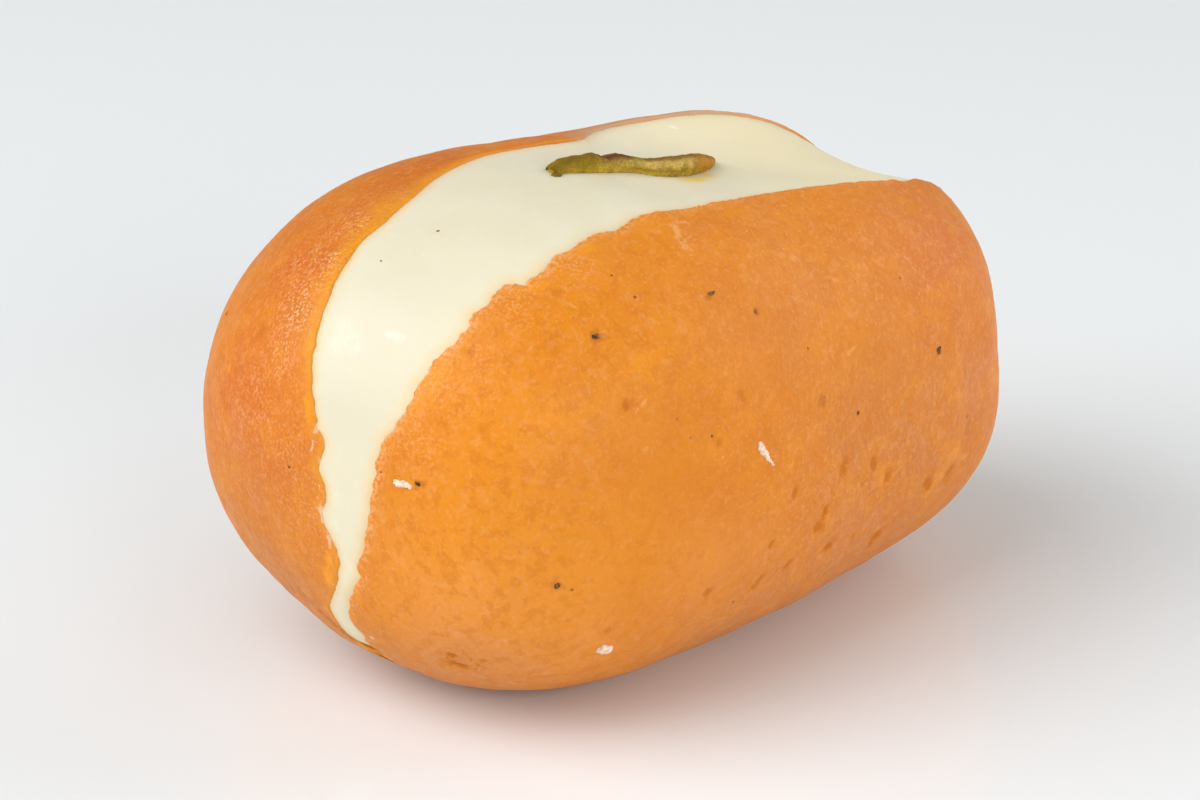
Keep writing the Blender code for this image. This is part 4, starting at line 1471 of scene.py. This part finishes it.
class SWEET_OT_specks(bpy.types.Operator):
    """Add the burnt and browned specks in the crust and on the cream"""

    bl_idname = "sweet.specks"
    bl_label = "Specks"

    def execute(self, context):
        look = context.scene.sweet_look
        kinds = (
            ("burnt_specks", (("crust", BURNT_SPECKS), ("cream", CREAM_SPECKS)), look.speck, look.speck_deep),
            ("brown_specks", (("crust", BROWN_SPECKS),), look.brown_speck, look.crust_shade),
        )
        for name, groups, colour, deep in kinds:
            bm = bmesh.new()
            for carrier, specks in groups:
                surface = surface_of(carrier)
                for x, y, width, height, turn in specks:
                    place = place_on(surface, (x, y), turn)
                    blob(bm, place, (width, height, SPECK_THICKNESS), x, SPECK_ROUGHNESS)
            finish_bits(name, bm, bit_material(name, colour, deep, 0.45))
        return {"FINISHED"}


class SWEET_OT_crumbs(bpy.types.Operator):
    """Add the crumbs of dried milk that cling to the crust"""

    bl_idname = "sweet.crumbs"
    bl_label = "Crumbs"

    def execute(self, context):
        look = context.scene.sweet_look
        surface = surface_of("crust")
        bm = bmesh.new()
        for crumb in CRUMBS:
            for x, y, breadth in crumb:
                place = place_on(surface, (x, y), x * 7 % 60)
                blob(bm, place, breadth * np.array(CRUMB_SHAPE), y, CRUMB_ROUGHNESS)
        finish = bit_material("dried_milk", look.crumb, look.crumb_deep, 0.6)
        finish_bits("crumbs", bm, finish, CRUMB_GRAIN * MM)
        return {"FINISHED"}


def soft_light(name, azimuth, elevation, power):
    """A square light that faces the sweet from this direction, counted as the camera's is."""
    data = bpy.data.lights.new(name, "AREA")
    data.shape = "SQUARE"
    data.size = LAMP_SIZE
    data.energy = power
    made = add_object(name, data)
    turn, tilt = math.radians(azimuth), math.radians(elevation)
    towards = Vector((math.sin(turn) * math.cos(tilt), -math.cos(turn) * math.cos(tilt), math.sin(tilt)))
    made.location = Vector((0, 0, LAMP_AIM)) + towards * LAMP_DISTANCE
    made.rotation_euler = towards.to_track_quat("Z", "Y").to_euler()
    made.visible_camera = False


class SWEET_OT_stage(bpy.types.Operator):
    """Set the floor, the lights, the air and the camera"""

    bl_idname = "sweet.stage"
    bl_label = "Stage"

    def execute(self, context):
        settings = context.scene.sweet_stage
        mesh = bpy.data.meshes.new("floor")
        corners = [(x * FLOOR_HALF, y * FLOOR_HALF, 0) for x, y in ((-1, -1), (1, -1), (1, 1), (-1, 1))]
        mesh.from_pydata(corners, [], [(0, 1, 2, 3)])
        floor = add_object("floor", mesh)
        floor.location.z = -FLOOR_DROP
        made, nodes, shader = new_material("floor", settings.floor)
        set_shader(nodes, shader, settings.floor, Roughness=0.15, Specular_IOR_Level=0.25)
        mesh.materials.append(made)

        for name, azimuth, elevation in LAMPS:
            soft_light(name, azimuth, elevation, getattr(settings, name + "_power"))
        world = bpy.data.worlds.new("air")
        world.use_nodes = True
        background = world.node_tree.nodes["Background"]
        background.inputs["Color"].default_value = (*settings.air, 1.0)
        background.inputs["Strength"].default_value = settings.air_strength
        context.scene.world = world

        data = bpy.data.cameras.new("camera")
        data.sensor_width = SENSOR
        data.lens = LENS
        data.clip_start = NEAREST_SEEN
        camera = add_object("camera", data)
        camera.location = EYE
        camera.rotation_euler = (EYE - AIM).to_track_quat("Z", "Y").to_euler()
        context.scene.camera = camera
        context.scene.view_settings.view_transform = "Standard"
        return {"FINISHED"}


class SWEET_PT_panel(bpy.types.Panel):
    """Lists the sweet's pieces and colours"""

    bl_label = "Filled Milk Sweet"
    bl_idname = "SWEET_PT_panel"
    bl_space_type = "VIEW_3D"
    bl_region_type = "UI"
    bl_category = "Sweet"

    def draw(self, context):
        for operator in OPERATORS:
            self.layout.operator(operator.bl_idname)
        for settings, name in SETTINGS:
            box = self.layout.box()
            for label in settings.__annotations__:
                box.prop(getattr(context.scene, name), label)


OPERATORS = (SWEET_OT_crust, SWEET_OT_cream, SWEET_OT_sliver, SWEET_OT_specks, SWEET_OT_crumbs, SWEET_OT_stage)
SETTINGS = (
    (SweetLook, "sweet_look"),
    (SweetCrust, "sweet_crust"),
    (SweetNut, "sweet_nut"),
    (SweetStage, "sweet_stage"),
)
CLASSES = (*(settings for settings, _ in SETTINGS), *OPERATORS, SWEET_PT_panel)


def register():
    for made in CLASSES:
        bpy.utils.register_class(made)
    for settings, name in SETTINGS:
        setattr(bpy.types.Scene, name, bpy.props.PointerProperty(type=settings))


def unregister():
    for _, name in SETTINGS:
        delattr(bpy.types.Scene, name)
    for made in reversed(CLASSES):
        bpy.utils.unregister_class(made)


def main():
    register()
    bpy.ops.sweet.crust()
    bpy.ops.sweet.cream()
    bpy.ops.sweet.sliver()
    bpy.ops.sweet.specks()
    bpy.ops.sweet.crumbs()
    bpy.ops.sweet.stage()


if __name__ == "__main__":
    main()
